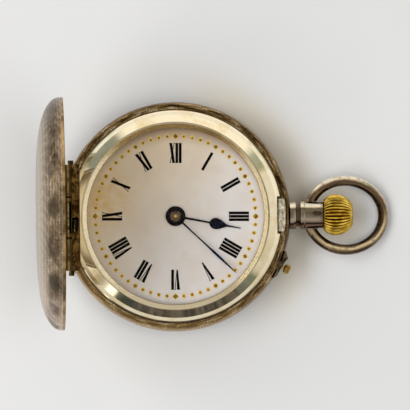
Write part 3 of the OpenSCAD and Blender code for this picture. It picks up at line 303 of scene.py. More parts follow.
def milling():
    """Patina on the milled ridges: slanting streaks on the shoulder, and ridges that show on the wall, with a
    painted highlight along the shoulder's edge and painted light towards the lower left.
    """
    m = Mat("milling", "6B5434", 0.3, 1.0)
    r, angle, z, x, y = m.polar()
    grain = m.noise(2.6, 5, 0.7)
    wall = m.step(z, 6.8, 6.4)
    slant = m.add(m.times(angle, 7), m.times(r, 0.9))
    along_streaks = m.node("CombineXYZ", {0: m.times(r, 3.4), 1: slant, 2: m.times(z, 2.5)})
    streaks = m.remap(m.noise(1.0, 4, 0.6, along_streaks), 0.36, 0.64, -0.02, 0.78)
    level = m.add(m.times(streaks, m.remap(wall, 0, 1, 1, 0.3)), m.times(wall, 0.12))
    level = m.add(level, m.times(m.relief(), m.remap(wall, 0, 1, 0.22, 0.55)))
    level = m.add(level, m.remap(grain, 0.3, 0.7, -0.14, 0.14))
    shade = m.ramp(level, [(0, "20170D"), (0.25, "4A3820"), (0.5, "7C6138"), (0.75, "AE9160"), (1, "EBDCC2")])
    # Painted highlight along the shoulder's edge, and painted light that brightens the band towards the lower
    # left
    lit = m.step(m.add(m.times(x, -0.55), m.times(y, -0.84)), -4, 15)
    painted_highlight = m.times(m.step(r, 17.45, 17.95), m.remap(wall, 0, 1, 1, 0.3))
    shade = m.mix(m.times(painted_highlight, m.remap(lit, 0, 1, 0.15, 0.6)), shade, "CDAE98")
    m.set("Base Color", m.mix(m.times(lit, 0.6), shade, m.mix(0.5, shade, "D0AC70", "SCREEN")))
    m.set("Roughness", m.remap(grain, 0.3, 0.7, 0.2, 0.4))
    m.set("Normal", m.bump(grain, 0.35, 0.04))
    return m


def turned_silver(name, place, rise, blotch):
    """Tarnished silver, engine-turned in fine rows, with smooth oval reserves round a plain gilt rim.

    place takes object coordinates to a closed cover with its rim at height 0 and its dome upwards."""
    m = Mat(name, "B7ADA0", 0.3, 1.0)
    closed = m.mm(**place)
    r, angle, z, x, y = m.polar(closed)
    outside = m.step(m.oval(r, COVER_R, z, rise, 4.0), 0.9, 0.97)
    grain = m.noise(1.9, 6, 0.7, closed)

    # Rows of beads under a scroll, worn smooth inside the ovals
    ovals, oval_z = 18, 1.75
    rows = m.sine(m.add(m.times(z, 15), m.times(m.sine(m.times(angle, 72)), 0.6)))
    beads = m.sine(m.times(angle, 250))
    scroll = m.sine(m.add(m.times(angle, 54), m.times(m.sine(m.times(z, 3.1)), 2.4)))
    engraved = m.add(m.times(m.times(rows, beads), 0.1), m.add(m.times(rows, 0.07), m.times(scroll, 0.05)))
    sector = m.add(m.math("FRACT", m.add(m.times(angle, ovals / (2 * math.pi)), 10.45)), -0.5)
    oval = m.oval(sector, 0.27, m.add(z, -oval_z), 0.85)
    reserve = m.step(m.add(oval, m.times(m.noise(1.2, 3, 0.6, closed), 0.8)), 1.9, 0.8)
    relief = m.add(m.times(engraved, m.remap(reserve, 0, 1, 1, 0.1)), m.times(grain, 0.7))

    shade = m.ramp(m.remap(relief, 0.05, 0.65, 0, 1),
                   [(0, "54432F"), (0.4, "8C7860"), (0.7, "B8A58C"), (1, "EFE2CE")])
    # Rosy towards the six, stained in a belt, paler on top, dark in the ovals, gilt at the rim
    rosy = m.step(m.add(y, m.times(m.cloud(0.2, 0.3, 0.7, 4, closed), 5)), -3, -11)
    shade = m.mix(rosy, shade, m.mix(0.55, shade, "D6BCAA", "SCREEN"))
    belt = m.times(m.window(z, 0.9, 2.7, 0.6), m.cloud(0.26, 0.36, 0.6, 4, closed, blotch))
    shade = m.mix(belt, shade, "7A6450", "MULTIPLY")
    shade = m.mix(m.step(z, 2.9, 3.9), shade, m.mix(0.5, shade, "DCCFBC"))
    shade = m.mix(m.times(reserve, m.cloud(0.11, 0.36, 0.56, 2, closed, blotch)), shade, "4C4234")
    shade = m.mix(m.step(z, 0.5, 0.38), shade, m.mix(m.cloud(0.5, 0.35, 0.65, 4, closed), "C9A776", "86683C"))
    # Painted shade along the very edge of the rim
    shade = m.mix(m.times(m.step(z, 0.09, 0.03), 0.9), shade, "3A2A16")

    # The inside is plain, and the straight cut and the knuckle at the hinge are bronze. The knuckle's
    # colour goes by where the cover stands, so that it matches the band's
    plain = m.mix(m.cloud(0.3, 0.4, 0.7, 5, closed), "E6DCC6", "D6C9AF")
    body = m.mix(outside, plain, shade)
    body = m.mix(m.step(x, COVER_CUT_X + 0.05, COVER_CUT_X), body, "5E4A2E")
    open_x, open_y, _ = m.split(m.mm())
    knuckle = m.times(m.step(z, -0.02, -0.06), m.step(m.math("ABSOLUTE", y), 3.2, 3.0))
    m.set("Base Color", m.mix(knuckle, body, hinge_bronze(m, open_x, open_y)))
    m.set("Roughness", m.mix(outside, (0.27, 0.27, 0.27, 1), m.remap(grain, 0.3, 0.7, 0.24, 0.44)))
    m.set("Normal", m.bump(m.times(relief, m.times(outside, m.step(z, 0.4, 0.55))), 0.6, 0.07))
    return m


def front_metal():
    """The front cover's silver. The cover stands open, and closed its rim is level with the dial."""
    turn = Matrix.Rotation(FRONT_OPEN, 4, "Y")
    shift = FRONT_AXIS - turn.to_3x3() @ FRONT_AXIS - Vector((0, 0, DIAL_TOP))
    return turned_silver("engine_turned_front", {"shift": shift, "turn": turn.to_euler()}, FRONT_RISE, 0.85)


def back_metal():
    """The back cover's silver. It is mirrored, so that its dome is upwards too."""
    place = {"scale": (1, 1, -1), "shift": (0, 0, BACK_RIM_Z)}
    return turned_silver("engine_turned_back", place, BACK_RISE, 0.5)


def enamel():
    """Off-white glazed enamel, yellower to the upper left and paler to the lower right in painted light, with
    painted warm light by the nine, a painted shadow under the upper rim, and yellow round the dots.
    """
    m = Mat("enamel", "DDD2C8", 0.2, 0.0, Coat_Weight=0.2, Coat_Roughness=0.06)
    r, angle, _, x, y = m.polar()
    # Painted light: yellower to the upper left, where the open cover shades the dial, and paler to the lower
    # right
    slope = m.add(m.times(x, 0.62), m.times(y, -0.5))
    tint = m.mix(m.step(slope, -11, 7), "E6D0AE", "DCD8D6")
    tint = m.mix(m.cloud(0.16, 0.35, 0.68, 4, top=0.35), tint, "CDB8A0")
    # Painted warm light that the open cover throws on the dial, in a patch by the nine
    by_nine = m.node("VectorMath", {0: m.mm(), 1: (-11.9, 3.2, DIAL_TOP)}, out=1, operation="DISTANCE")
    blotch = m.times(m.step(by_nine, 7.5, 0.5), m.remap(m.noise(0.7, 4), 0.35, 0.6, 0.35, 1))
    tint = m.mix(m.times(blotch, 0.7), tint, "D0A650")
    # Painted shadow of the rim along the dial's upper edge
    upper = m.step(m.add(m.times(r, 0.9), m.times(y, 0.32)), 13.2, 17.4)
    tint = m.mix(m.times(upper, 0.85), tint, "8A6A44")
    # 1 at each of the sixty minute dots, and a round belt that holds them
    by_dot = m.sine(m.add(m.times(angle, 60), math.pi / 2 + 60 * DIAL_TURN))
    belt = m.window(r, DOT_R - 0.35, DOT_R + 0.4, 0.3)
    tint = m.mix(m.times(m.times(m.step(by_dot, -0.2, 0.9), belt), 0.6), tint, "E3C268")
    m.set("Base Color", tint)
    m.set("Normal", m.bump(m.noise(0.5, 2), 0.05, 0.02))
    return m


def stem_silver():
    """Silver of the pendant, browned in its grooves and in its mark, with painted reflections across it: a
    bright strip on top, a dark band under it and painted shade at the bottom. It is darker at the end by the
    crown.
    """
    m = Mat("pendant_silver", "D2C8BA", 0.16, 1.0)
    x, y, z = m.split(m.mm())
    off = m.radius(y, m.add(z, -STEM_Z))
    uneven = m.remap(m.noise(0.8, 4, 0.6, m.mm((0.4, 1, 1))), 0.3, 0.7, -0.035, 0.035)
    # Painted reflections by height across the neck: a bright strip on top, a dark band under it, and painted
    # shade at the bottom
    base_tone = m.ramp(m.add(m.remap(y, -2.2, 2.2, 0, 1), uneven),
                  [(0.06, "6A503C"), (0.2, "7E6A58"), (0.36, "B4A490"), (0.56, "8C7C66"), (0.7, "5C5442"),
                   (0.77, "D8C6A6"), (0.86, "FFF6E4"), (0.97, "DCC6A0")])
    base_tone = m.mix(m.times(m.step(x, 22.5, 23.2), 0.6), base_tone, "5E4A34")
    mark = m.oval(m.add(x, -MARK_X), 0.68, m.add(y, -MARK_Y), 0.4)
    base_tone = m.mix(m.times(m.step(mark, 1.1, 0.5), 0.7), base_tone, "3E2A1A")
    groove = m.step(off, NECK_R - 0.04, NECK_R - 0.26)
    m.set("Base Color", m.mix(m.times(groove, 0.85), base_tone, "3A2A1C"))
    m.set("Roughness", m.wander(1.5, 4, 0.06, 0.16))
    m.set("Normal", m.bump(m.noise(9, 3, 0.6, m.mm((0.3, 1, 1))), 0.06, 0.012))
    return m


def bow_silver():
    """Silver of the bow, tarnished in patches, with painted reflections across the wire: bright outside
    above, a bright streak along the middle below, and dark inside.
    """
    m = Mat("bow_silver", "B8A890", 0.16, 1.0)
    x, y, _ = m.split(m.mm())
    up = m.times(y, 1 / BOW_HALF_Y)
    # 1 along the middle of the wire, less towards the inside of the loop
    reach = m.radius(m.times(m.add(x, -BOW_X), 1 / BOW_HALF_X), up)
    across = m.add(m.remap(reach, 0.86, 1.14, 0, 1), m.wander(0.45, 4, -0.06, 0.06))
    # Painted reflections across the wire: bright on the outer edge above, a bright streak along its middle
    # below, and dark on the inner side
    above = m.ramp(across, [(0, "30241A"), (0.25, "725C46"), (0.4, "5E4C3A"), (0.52, "5A4834"),
                            (0.66, "D0BC9E"), (0.82, "FFF2DA")])
    below = m.ramp(across, [(0, "2A1E14"), (0.25, "6A563E"), (0.42, "DCC49C"), (0.6, "A08C6C"),
                            (0.78, "5A4733"), (1, "4A3A2A")])
    base_tone = m.mix(m.step(up, -0.5, 0.3), below, above)
    m.set("Base Color", m.mix(m.cloud(1.4, 0.5, 0.66, 4, top=0.5), base_tone, "7A6448"))
    m.set("Roughness", m.wander(1.6, 4, 0.08, 0.2))
    m.set("Normal", m.bump(m.noise(6, 3, 0.6), 0.1, 0.015))
    return m


def fluted_gold(name, light, dark, valley, low, high, rough):
    """Worn gilding, browned in the valleys between its ridges."""
    m = Mat(name, light, rough, 1.0)
    base_tone = m.mix(m.cloud(1.1, 0.36, 0.66, 5), light, dark)
    depth = m.times(m.step(m.relief(), high, low), m.remap(m.noise(0.9, 3), 0.35, 0.65, 0.7, 1.0))
    m.set("Base Color", m.mix(depth, base_tone, valley))
    m.set("Roughness", m.wander(2.2, 4, rough - 0.07, rough + 0.1))
    m.set("Normal", m.bump(m.noise(5, 4, 0.6), 0.25, 0.02))
    return m


def floor_paint():
    """Pale paint, warmed to the right of the case and inside the bow, where the metal throws its colour."""
    m = Mat("floor_paint", "DCDBD8", 0.9, 0.0, Specular_IOR_Level=0.1)
    r, _, _, x, y = m.polar()
    paint = m.mix(m.cloud(0.02, 0.35, 0.65, 3), "DEDFE0", "DBDCDD")
    beside = m.times(m.step(r, 26, 18.5), m.step(m.add(m.times(x, 0.95), m.times(y, 0.3)), 4, 16))
    opening_x = 25
    in_bow = m.times(m.step(m.radius(m.add(x, -opening_x), y), 6.5, 3), 0.8)
    m.set("Base Color", m.mix(m.times(m.math("MAXIMUM", beside, in_bow), 0.9), paint, "DED6C5"))
    return m


def simple(name, colour, other, rough, metal, scale=1.2, bump=0.15, **sockets):
    """Two colours in soft patches, with uneven gloss."""
    m = Mat(name, colour, rough, metal, **sockets)
    m.set("Base Color", m.mix(m.cloud(scale, 0.35, 0.68), colour, other))
    m.set("Roughness", m.wander(scale * 4, 3, max(0.03, rough - 0.07), rough + 0.08))
    m.set("Normal", m.bump(m.noise(scale * 12, 3), bump, 0.01))
    return m


def catch_steel():
    """Worn steel of the catch plate, with a finely punched top."""
    m = Mat("catch_steel", "B9AE9C", 0.3, 0.5)
    relief = m.noise(3.6, 4, 0.75, m.mm((1, 0.35, 1)))
    base_tone = m.ramp(m.remap(relief, 0.36, 0.66, 0, 1),
                  [(0, "6A5E4A"), (0.4, "BCB098"), (0.75, "EADFC8"), (1, "FFF9EC")])
    m.set("Base Color", m.mix(m.cloud(0.7, 0.4, 0.65, 3, top=0.35), base_tone, "8C7E66"))
    m.set("Roughness", m.remap(relief, 0.2, 0.8, 0.3, 0.45))
    m.set("Normal", m.bump(relief, 0.5, 0.04))
    return m


def hands_steel():
    """Blued steel of the hands, dark on the bosses and brown with wear in the middle."""
    m = Mat("hands_steel", "10142A", 0.22, 0.85)
    r = m.polar()[0]
    blue = m.mix(m.cloud(0.55, 0.5, 0.66, 2), "090A12", "1C2450")
    dark = m.mix(m.step(r, 1.75, 1.6), blue, "0D0A09")
    base_tone = m.mix(m.cloud(2.4, 0.38, 0.62, 3), "6E5A4C", "43342A")
    m.set("Base Color", m.mix(m.step(r, 0.92, 0.84), dark, base_tone))
    m.set("Roughness", m.wander(3, 3, 0.2, 0.36))
    m.set("Normal", m.bump(m.noise(8, 3), 0.1, 0.01))
    return m


def spotted(name, colour, other):
    """Gilt brass with rows of round graining."""
    m = Mat(name, colour, 0.3, 1.0)
    cells = m.node("TexVoronoi", {"Vector": m.mm(), "Scale": 1.1, "Randomness": 0.15})
    ring = m.sine(m.times(cells, 34))
    m.set("Base Color", m.mix(m.cloud(0.6, 0.35, 0.68), colour, other))
    m.set("Roughness", m.remap(ring, -1, 1, 0.2, 0.4))
    m.set("Normal", m.bump(ring, 0.25, 0.008))
    return m


def glass():
    """Thin clear glass of the crystal, which mostly lets the dial through."""
    m = Mat("crystal_glass", "FFFFFF", 0.02, 0.0, IOR=1.4, Alpha=0.1, Transmission_Weight=1.0)
    m.set("Roughness", m.remap(m.noise(1.2, 4), 0.35, 0.7, 0.0, 0.015))
    return m


MATERIALS = {
    "gilt_ring": gilt_ring(),
    "milled": milled_band(),
    "milling": milling(),
    "cover": front_metal(),
    "back": back_metal(),
    "pendant": stem_silver(),
    "bow": bow_silver(),
    "guard": worn_metal("guard_bronze", "8C7A60", "3E3020", 0.3, 0.08, 0.9, 0.3, (0.4, 0.62)),
    "crown": fluted_gold("crown_gilding", "F0CB5C", "B88E28", "352304", 0.9, 0.975, 0.2),
    "button": fluted_gold("button_gilding", "E3BC68", "8A6426", "3A2408", 0.88, 0.99, 0.28),
    "catch": catch_steel(),
    "hinge": worn_metal("hinge_bronze", "5E4A2E", "2A1F12", 0.3, 0.08, 0.9, 0.3, (0.38, 0.6)),
    "gilt": worn_metal("plain_gilding", "E4CC90", "D2B474", 0.2, 0.06, 0.4, 0.15, (0.35, 0.75)),
    "steel": simple("worn_steel", "A5A39E", "6A645A", 0.24, 1.0),
    "dark": simple("dark_steel", "4C463C", "241F18", 0.4, 1.0),
    "blue": simple("blued_steel", "151A30", "07080E", 0.24, 0.85),
    "boss": simple("boss_brown", "8A7458", "54422F", 0.35, 0.8, 2.0),
    "wheel": simple("wheel_brass", "D8B868", "B8924A", 0.25, 1.0, 0.8),
    "ruby": simple("ruby", "8E1226", "5C0A18", 0.08, 0.0, 2.0, 0.05, Alpha=0.9),
    "ink": simple("numeral_ink", "0A0705", "120C08", 0.6, 0.0, 1.5, Specular_IOR_Level=0.0),
    "dot": simple("gilt_dot", "CFA63C", "86661C", 0.25, 0.7, 3.0),
    "dot_edge": simple("dot_edge", "E8C85E", "CFA238", 0.4, 0.1, 3.0),
    "hands": hands_steel(),
    "enamel": enamel(),
    "glass": glass(),
    "gilt_plate": spotted("gilt_plate", "D2B775", "B08F4B"),
}

# The nodes that wear each material
WORN_BY = {
    "gilt_ring": ["bezel"],
    "milled": ["case_middle"],
    "cover": ["front_cover"],
    "back": ["back_cover"],
    "gilt": ["cuvette"],
    "button": ["pin_set"],
    "pendant": ["pendant"],
    "bow": ["bow"],
    "guard": ["pin_guard"],
    "catch": ["lock_spring"],
    "dark": ["lift_spring"],
    "crown": ["crown"],
    "glass": ["crystal"],
    "enamel": ["dial"],
    "hands": ["hour_hand", "minute_hand"],
    "boss": ["cannon_pinion", "hour_wheel"],
    "hinge": ["front_hinge_pin", "back_hinge_pin"],
    "blue": ["spring_screws", "bridge_screws", "case_screws", "crown_wheel_screw",
             "ratchet_screw", "hairspring", "mainspring"],
    "steel": ["stem", "setting_lever", "barrel_arbor", "ratchet_wheel", "crown_wheel",
              "winding_pinion", "click", "click_spring", "escape_wheel", "pallet_fork", "regulator"],
    "wheel": ["barrel", "centre_wheel", "third_wheel", "fourth_wheel", "balance", "minute_wheel"],
    "gilt_plate": ["mainplate", "barrel_bridge", "centre_bar", "third_bar", "fourth_bar", "escape_bar",
                   "balance_cock", "pallet_cock"],
    "ruby": ["jewels"],
}
for look, names in WORN_BY.items():
    for name in names:
        mesh = NODES[name].data
        mesh.materials.clear()
        mesh.materials.append(MATERIALS[look].data)
        mesh.shade_smooth()
        mesh.set_sharp_from_angle(angle=math.radians(32))


# Mesh helpers

def in_scene(name, data):
    """A new object of a mesh, light or camera."""
    obj = bpy.data.objects.new(name, data)
    bpy.context.scene.collection.objects.link(obj)
    return obj


def piece(name, bm, look, node=None, body="case", smooth=35.0):
    """Turns a bmesh in millimetres into a piece that rides on a body, or stands for a node."""
    bmesh.ops.scale(bm, vec=(MM, MM, MM), verts=bm.verts)
    bmesh.ops.recalc_face_normals(bm, faces=bm.faces)
    mesh = bpy.data.meshes.new(name)
    bm.to_mesh(mesh)
    bm.free()
    mesh.shade_smooth()
    mesh.set_sharp_from_angle(angle=math.radians(smooth))
    mesh.materials.append(MATERIALS[look].data)
    obj = in_scene(name, mesh)
    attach(obj, NODES[node]["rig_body"] if node else body)
    if node:
        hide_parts(node)


def rings(bm, rows, ends=True):
    """Joins rings of points into a skin, closed at both ends or open."""
    rows = [[bm.verts.new(p) for p in row] for row in rows]
    n = len(rows[0])
    for a, b in zip(rows, rows[1:]):
        for k in range(n):
            bm.faces.new((a[k], a[(k + 1) % n], b[(k + 1) % n], b[k]))
    if ends:
        bm.faces.new(rows[0][::-1])
        bm.faces.new(rows[-1])
    return [v for row in rows for v in row]


def prism(bm, outline, z0, z1, place):
    """A closed prism on an outline of (x, y) points, moved by a matrix."""
    verts = rings(bm, [[(x, y, z) for x, y in outline] for z in (z0, z1)])
    bmesh.ops.transform(bm, matrix=place, verts=verts)


def turned(bm, profile, sides, place, wave=None):
    """A closed skin turned round Z from (r, z) points, then moved by a matrix.

    wave gives the share of r by point and side. It is kept on the vertices as their relief."""
    shares = [[wave(i, k) if wave else 1.0 for k in range(sides)] for i in range(len(profile))]
    turns = [2 * math.pi * k / sides for k in range(sides)]
    rows = [[(r * share * math.cos(t), r * share * math.sin(t), z) for share, t in zip(row, turns)]
            for (r, z), row in zip(profile, shares)]
    relief = bm.verts.layers.float.get("relief") or bm.verts.layers.float.new("relief")
    verts = rings(bm, rows)
    for v, share in zip(verts, [share for row in shares for share in row]):
        v[relief] = share
    bmesh.ops.transform(bm, matrix=place, verts=verts)


def along(point, direction):
    """Matrix that takes +Z to a direction, at a point."""
    m = Vector(direction).to_track_quat("Z", "Y").to_matrix().to_4x4()
    m.translation = Vector(point)
    return m


# Dial

NUMERALS = ["XII", "I", "II", "III", "IIII", "V", "VI", "VII", "VIII", "IX", "X", "XI"]
NUMERAL_R0, NUMERAL_R1 = 8.39, 11.55
THICK, THIN, SERIF = 0.44, 0.12, 0.1
ADVANCE = {"I": 0.53, "V": 0.92, "X": 0.92}
INK_Z = (DIAL_TOP + 0.001, DIAL_TOP + 0.012)


def stroke(x0, y0, x1, y1, w, w0=None):
    """A straight stroke of width w at its top, and w0 at its foot where that differs."""
    w0 = w if w0 is None else w0
    return [(x0 - w0 / 2, y0), (x0 + w0 / 2, y0), (x1 + w / 2, y1), (x1 - w / 2, y1)]


def serif(x, y, half, top):
    """A thin bar across the top or the foot of a stroke, a little narrower at its inner edge."""
    inner, inner_y = half - 0.03, y - SERIF if top else y + SERIF
    ends = [(x - half, y), (x + half, y), (x + inner, inner_y), (x - inner, inner_y)]
    return ends[::-1] if top else ends


def glyph(letter, x, h):
    """Strokes and serifs of one letter, of height h, about x."""
    if letter == "I":
        return [stroke(x, 0, x, h, THICK), serif(x, h, 0.255, True), serif(x, 0, 0.255, False)]
    if letter == "V":
        return [stroke(x, 0, x - 0.2, h, THICK + 0.06, 0.2), stroke(x + 0.05, 0, x + 0.34, h, THIN),
                serif(x - 0.2, h, 0.3, True), serif(x + 0.34, h, 0.13, True)]
    return [stroke(x + 0.24, 0, x - 0.24, h, THICK), stroke(x - 0.33, 0, x + 0.33, h, THIN),
            serif(x - 0.24, h, 0.28, True), serif(x + 0.33, h, 0.13, True),
            serif(x + 0.24, 0, 0.28, False), serif(x - 0.33, 0, 0.13, False)]


def numerals():
    """Roman numerals as thin plates of ink, with their feet towards the middle."""
    bm = bmesh.new()
    h = NUMERAL_R1 - NUMERAL_R0
    for hour, word in enumerate(NUMERALS):
        turn = Matrix.Rotation(-math.radians(30 * hour) - DIAL_TURN, 4, "Z")
        x = -sum(ADVANCE[c] for c in word) / 2
        for c in word:
            for part in glyph(c, x + ADVANCE[c] / 2, h):
                prism(bm, [(px, py + NUMERAL_R0) for px, py in part], *INK_Z, turn)
            x += ADVANCE[c]
    piece("numerals", bm, "ink", smooth=30)


def minute_dots():
    """Sixty raised gilt dots, larger and pointed at the hours, each on a flat paler edge."""
    dots, edges = bmesh.new(), bmesh.new()

    def star(i, k):
        """Four long points with four short ones between them."""
        return 1 if k % 4 == 0 else (0.72 if k % 2 else 0.86)

    for i in range(60):
        hour, quarter = i % 5 == 0, i % 15 == 0
        size = 0.42 if quarter else (0.34 if hour else 0.22)
        sides, wave = (16, star) if hour else (8, None)
        a = math.radians(6 * i) + DIAL_TURN
        middle = (DOT_R * math.sin(a), DOT_R * math.cos(a), DIAL_TOP)
        place = Matrix.Translation(middle) @ Matrix.Rotation(-a, 4, "Z")
        turned(dots, [(size, 0.004), (size * 0.9, 0.03), (size * 0.1, size * 0.55)], sides, place, wave)
        turned(edges, [(size + 0.12, 0.001), (size + 0.1, 0.005)], sides, place, wave)
    piece("minute_dots", dots, "dot", smooth=25)
    piece("minute_dot_edges", edges, "dot_edge", smooth=60)


# Milled band, crown, push-piece and pendant

def milled_ring():
    """Fine slanting ridges over the band's shoulder and wall, broken off on both sides of the hinges."""
    widest = 5.3
    profile = [(16.8, 6.8), (16.86, 6.9), (17.1, 6.915), (17.35, 6.915), (17.56, 6.905), (17.7, 6.87),
               (17.8, 6.76), (17.89, 6.55), (17.96, 6.25), (18.02, 5.85), (BAND_R, widest), (18.03, 4.75),
               (17.96, 4.3), (17.86, 3.98), (17.72, 3.74), (17.5, 3.68)]
    last = len(profile) - 1
    ridges, samples = 236, 6
    count = ridges * samples
    gap = math.radians(25.6)
    slant, sway = 0.32, 0.16
    base, height, sunk = 0.006, 0.052, 0.08
    heights = [rng.uniform(0.45, 1) for _ in range(ridges + 40)]
    bm = bmesh.new()
    relief = bm.verts.layers.float.new("relief")
    rows = []
    for i, (r, z) in enumerate(profile):
        before, after = profile[max(i - 1, 0)], profile[min(i + 1, last)]
        along_r, along_z = after[0] - before[0], after[1] - before[1]
        size = math.hypot(along_r, along_z)
        out_r, out_z = -along_z / size, along_r / size
        side = 1 if z > widest else -1
        fade = 0.2 + 0.8 * min(1, i / 3)
        row = []
        for k in range(count + 1):
            t = math.pi + gap + (2 * math.pi - 2 * gap) * k / count
            ridge = k / samples + i * slant + sway * math.sin(i * 1.7 + k * 0.011)
            wave = math.sin(math.pi * (ridge % 1)) ** 1.4 * heights[int(ridge) % len(heights)]
            lift = base + height * wave * fade - (sunk if i in (0, last) else 0)
            reach = r + out_r * lift
            v = bm.verts.new((reach * math.cos(t), reach * math.sin(t), z + abs(out_z) * lift * side))
            v[relief] = wave
            row.append(v)
        rows.append(row)
    # Inner edge, inside the band
    rows.append([bm.verts.new((v.co.x * 0.985, v.co.y * 0.985, widest)) for v in rows[0]])
    loop = rows + [rows[0]]
    for a, b in zip(loop, loop[1:]):
        for k in range(count):
            bm.faces.new((a[k], a[k + 1], b[k + 1], b[k]))
    bm.faces.new([row[0] for row in rows])
    bm.faces.new([row[-1] for row in rows][::-1])
    piece("milled_ring", bm, "milling", smooth=50)


def crown():
    """Fluted crown with its recess. Its flutes fade out at both ends."""
    flutes, sides = 34, 8
    shares = [(0, 0.7), (0.02, 0.77), (0.06, 0.81), (0.1, 0.855), (0.16, 0.91), (0.22, 0.955), (0.3, 0.988),
              (0.38, 1), (0.46, 0.995), (0.54, 0.975), (0.62, 0.94), (0.7, 0.885), (0.78, 0.81), (0.85, 0.72),
              (0.91, 0.62), (0.95, 0.52), (0.98, 0.4), (0.995, 0.24), (1, 0.08)]
    low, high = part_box("crown")
    reach = (high.y - low.y) / 2 / MM - 0.005
    start, span = low.x / MM, (high.x - low.x) / MM
    bore, neck, deep = 0.47, 2.26, 0.7
    profile = [(bore, span * 0.5), (bore, deep), (neck - 0.05, deep), (neck, deep - 0.05), (neck, 0.03)]
    skip = len(profile)
    profile += [(reach * r, span * x) for x, r in shares]

    def wave(i, k):
        if i < skip:
            return 1
        x = shares[i - skip][0]
        depth = 0.13 * min(1, x / 0.05) * min(1, (1 - x) / 0.12) * (1 - 0.35 * x)
        return 1 - depth * (1 - abs(math.sin(math.pi * k / sides))) ** 0.75

    bm = bmesh.new()
    place = along((start, 0, STEM_Z), (1, 0, 0)) @ Matrix.Rotation(0.02, 4, "Z")
    turned(bm, profile, flutes * sides, place, wave)
    piece("crown_fluted", bm, "crown", "crown", smooth=60)


def push_piece():
    """Push-piece with a knurled, domed head on a thin stem."""
    low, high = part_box("pin_set")
    head = (high.z - low.z) / 2 / MM
    head_r, stem_r, stem_end_r = BAND_R + 1.35, 0.27, 15.35
    angle = math.radians(-26)
    out = Vector((math.cos(angle), math.sin(angle), 0))
    at = out * head_r + Vector((0, 0, (low.z + high.z) / 2 / MM))
    stem_end = stem_end_r - head_r
    shares = [(0.3, -0.74), (0.62, -0.7), (0.9, -0.52), (0.99, -0.3), (0.99, 0.22), (0.93, 0.4), (0.8, 0.56),
              (0.55, 0.68), (0.2, 0.74)]
    profile = [(stem_r - 0.03, stem_end), (stem_r, stem_end + 0.04), (stem_r, -0.75 * head)]
    skip = len(profile)
    profile += [(head * r, head * x) for r, x in shares]

    def wave(i, k):
        knurled = 2 <= i - skip <= 6
        return 1 - (0.1 * abs(math.sin(math.pi * k / 4)) if knurled else 0)

    bm = bmesh.new()
    turned(bm, profile, 72, along(at, out), wave)
    piece("push_piece_knurled", bm, "button", "pin_set", smooth=50)


def punch_mark():
    """Plain oval punch mark on the pendant's neck, with a bare field."""
    half_x, half_y, points = 0.84, 0.48, 40
    bm = bmesh.new()
    rows = []
    for share, lift in ((1.0, -0.02), (0.97, 0.018), (0.86, 0.024), (0.76, 0.012), (0.7, -0.01)):
        row = []
        for k in range(points):
            t = 2 * math.pi * k / points
            roll = (half_y * share * math.sin(t) + MARK_Y) / NECK_R
            reach = NECK_R + lift
            x = MARK_X + half_x * share * math.cos(t)
            row.append((x, reach * math.sin(roll), STEM_Z + reach * math.cos(roll)))
        rows.append(row)
    rings(bm, rows, ends=False)
    piece("punch_mark", bm, "guard")


# Screws

def slotted(name, screws):
    """Blued screws with slotted, bevelled heads that face down, in place of a node's plain ones.

    screws: x, y, head radius, lowest height, head thickness, highest height, shank radius."""
    bm = bmesh.new()
    for x, y, r, low, thick, top, shank in screws:
        place = Matrix.Translation((x, y, low)) @ Matrix.Rotation(rng.uniform(0, math.pi), 4, "Z")
        long = top - low
        turned(bm, [(r, thick * 0.45), (r, thick), (shank, thick), (shank, long - 0.06), (shank * 0.6, long)],
               36, place)
        # Two halves of the head beside the slot
        half_slot = 0.12 * r + 0.03
        arc = math.acos(half_slot / r)
        rim = [(-arc + 2 * arc * k / 14) for k in range(15)]
        for side in (1, -1):
            rows = []
            for share, level in ((0.9, 0.0), (1.0, thick * 0.16), (1.0, thick * 0.46)):
                reach = r * share
                rows.append([(side * max(half_slot, reach * math.cos(t)), reach * math.sin(t), level)
                             for t in rim])
            bmesh.ops.transform(bm, matrix=place, verts=rings(bm, rows))
    piece(name + "_slotted", bm, "blue", name, smooth=30)


def islands(bm):
    """The loose parts of a mesh, as lists of vertices."""
    left = set(bm.verts)
    while left:
        seed = left.pop()
        stack, island = [seed], [seed]
        while stack:
            for edge in stack.pop().link_edges:
                for v in edge.verts:
                    if v in left:
                        left.discard(v)
                        stack.append(v)
                        island.append(v)
        yield island


def node_screws(name):
    """The screws of a node, read back from its mesh as slotted() takes them, in order of their place."""
    bm = bmesh.new()
    bm.from_mesh(NODES[name].data)
    bmesh.ops.remove_doubles(bm, verts=bm.verts, dist=1e-7)
    found = []
    for island in islands(bm):
        points = [v.co / MM for v in island]
        x = (min(p.x for p in points) + max(p.x for p in points)) / 2
        y = (min(p.y for p in points) + max(p.y for p in points)) / 2
        off = [math.hypot(p.x - x, p.y - y) for p in points]
        low, top = min(p.z for p in points), max(p.z for p in points)
        wide = max(off)
        thick = max(p.z for p, o in zip(points, off) if o > wide * 0.98) - low
        found.append((x, y, wide - 0.004, low, thick, top, min(off)))
    bm.free()
    return sorted(found)


numerals()
minute_dots()
milled_ring()
crown()
push_piece()
punch_mark()
for screws in ("bridge_screws", "case_screws", "crown_wheel_screw", "ratchet_screw"):
    slotted(screws, node_screws(screws))


# Stage, light and camera

def ground():
    """A plain pale floor."""
    bm = bmesh.new()
    bmesh.ops.create_grid(bm, x_segments=2, y_segments=2, size=1.5)
    mesh = bpy.data.meshes.new("floor")
    bm.to_mesh(mesh)
    bm.free()
    mesh.materials.append(floor_paint().data)
    obj = in_scene("floor", mesh)


def looking(at, towards, up):
    """Matrix of an object at a place that looks along -Z towards another."""
    at, towards = Vector(at), Vector(towards)
    back = (at - towards).normalized()
    right = Vector(up).cross(back).normalized()
    m = Matrix((right, back.cross(right), back)).transposed().to_4x4()
    m.translation = at
    return m


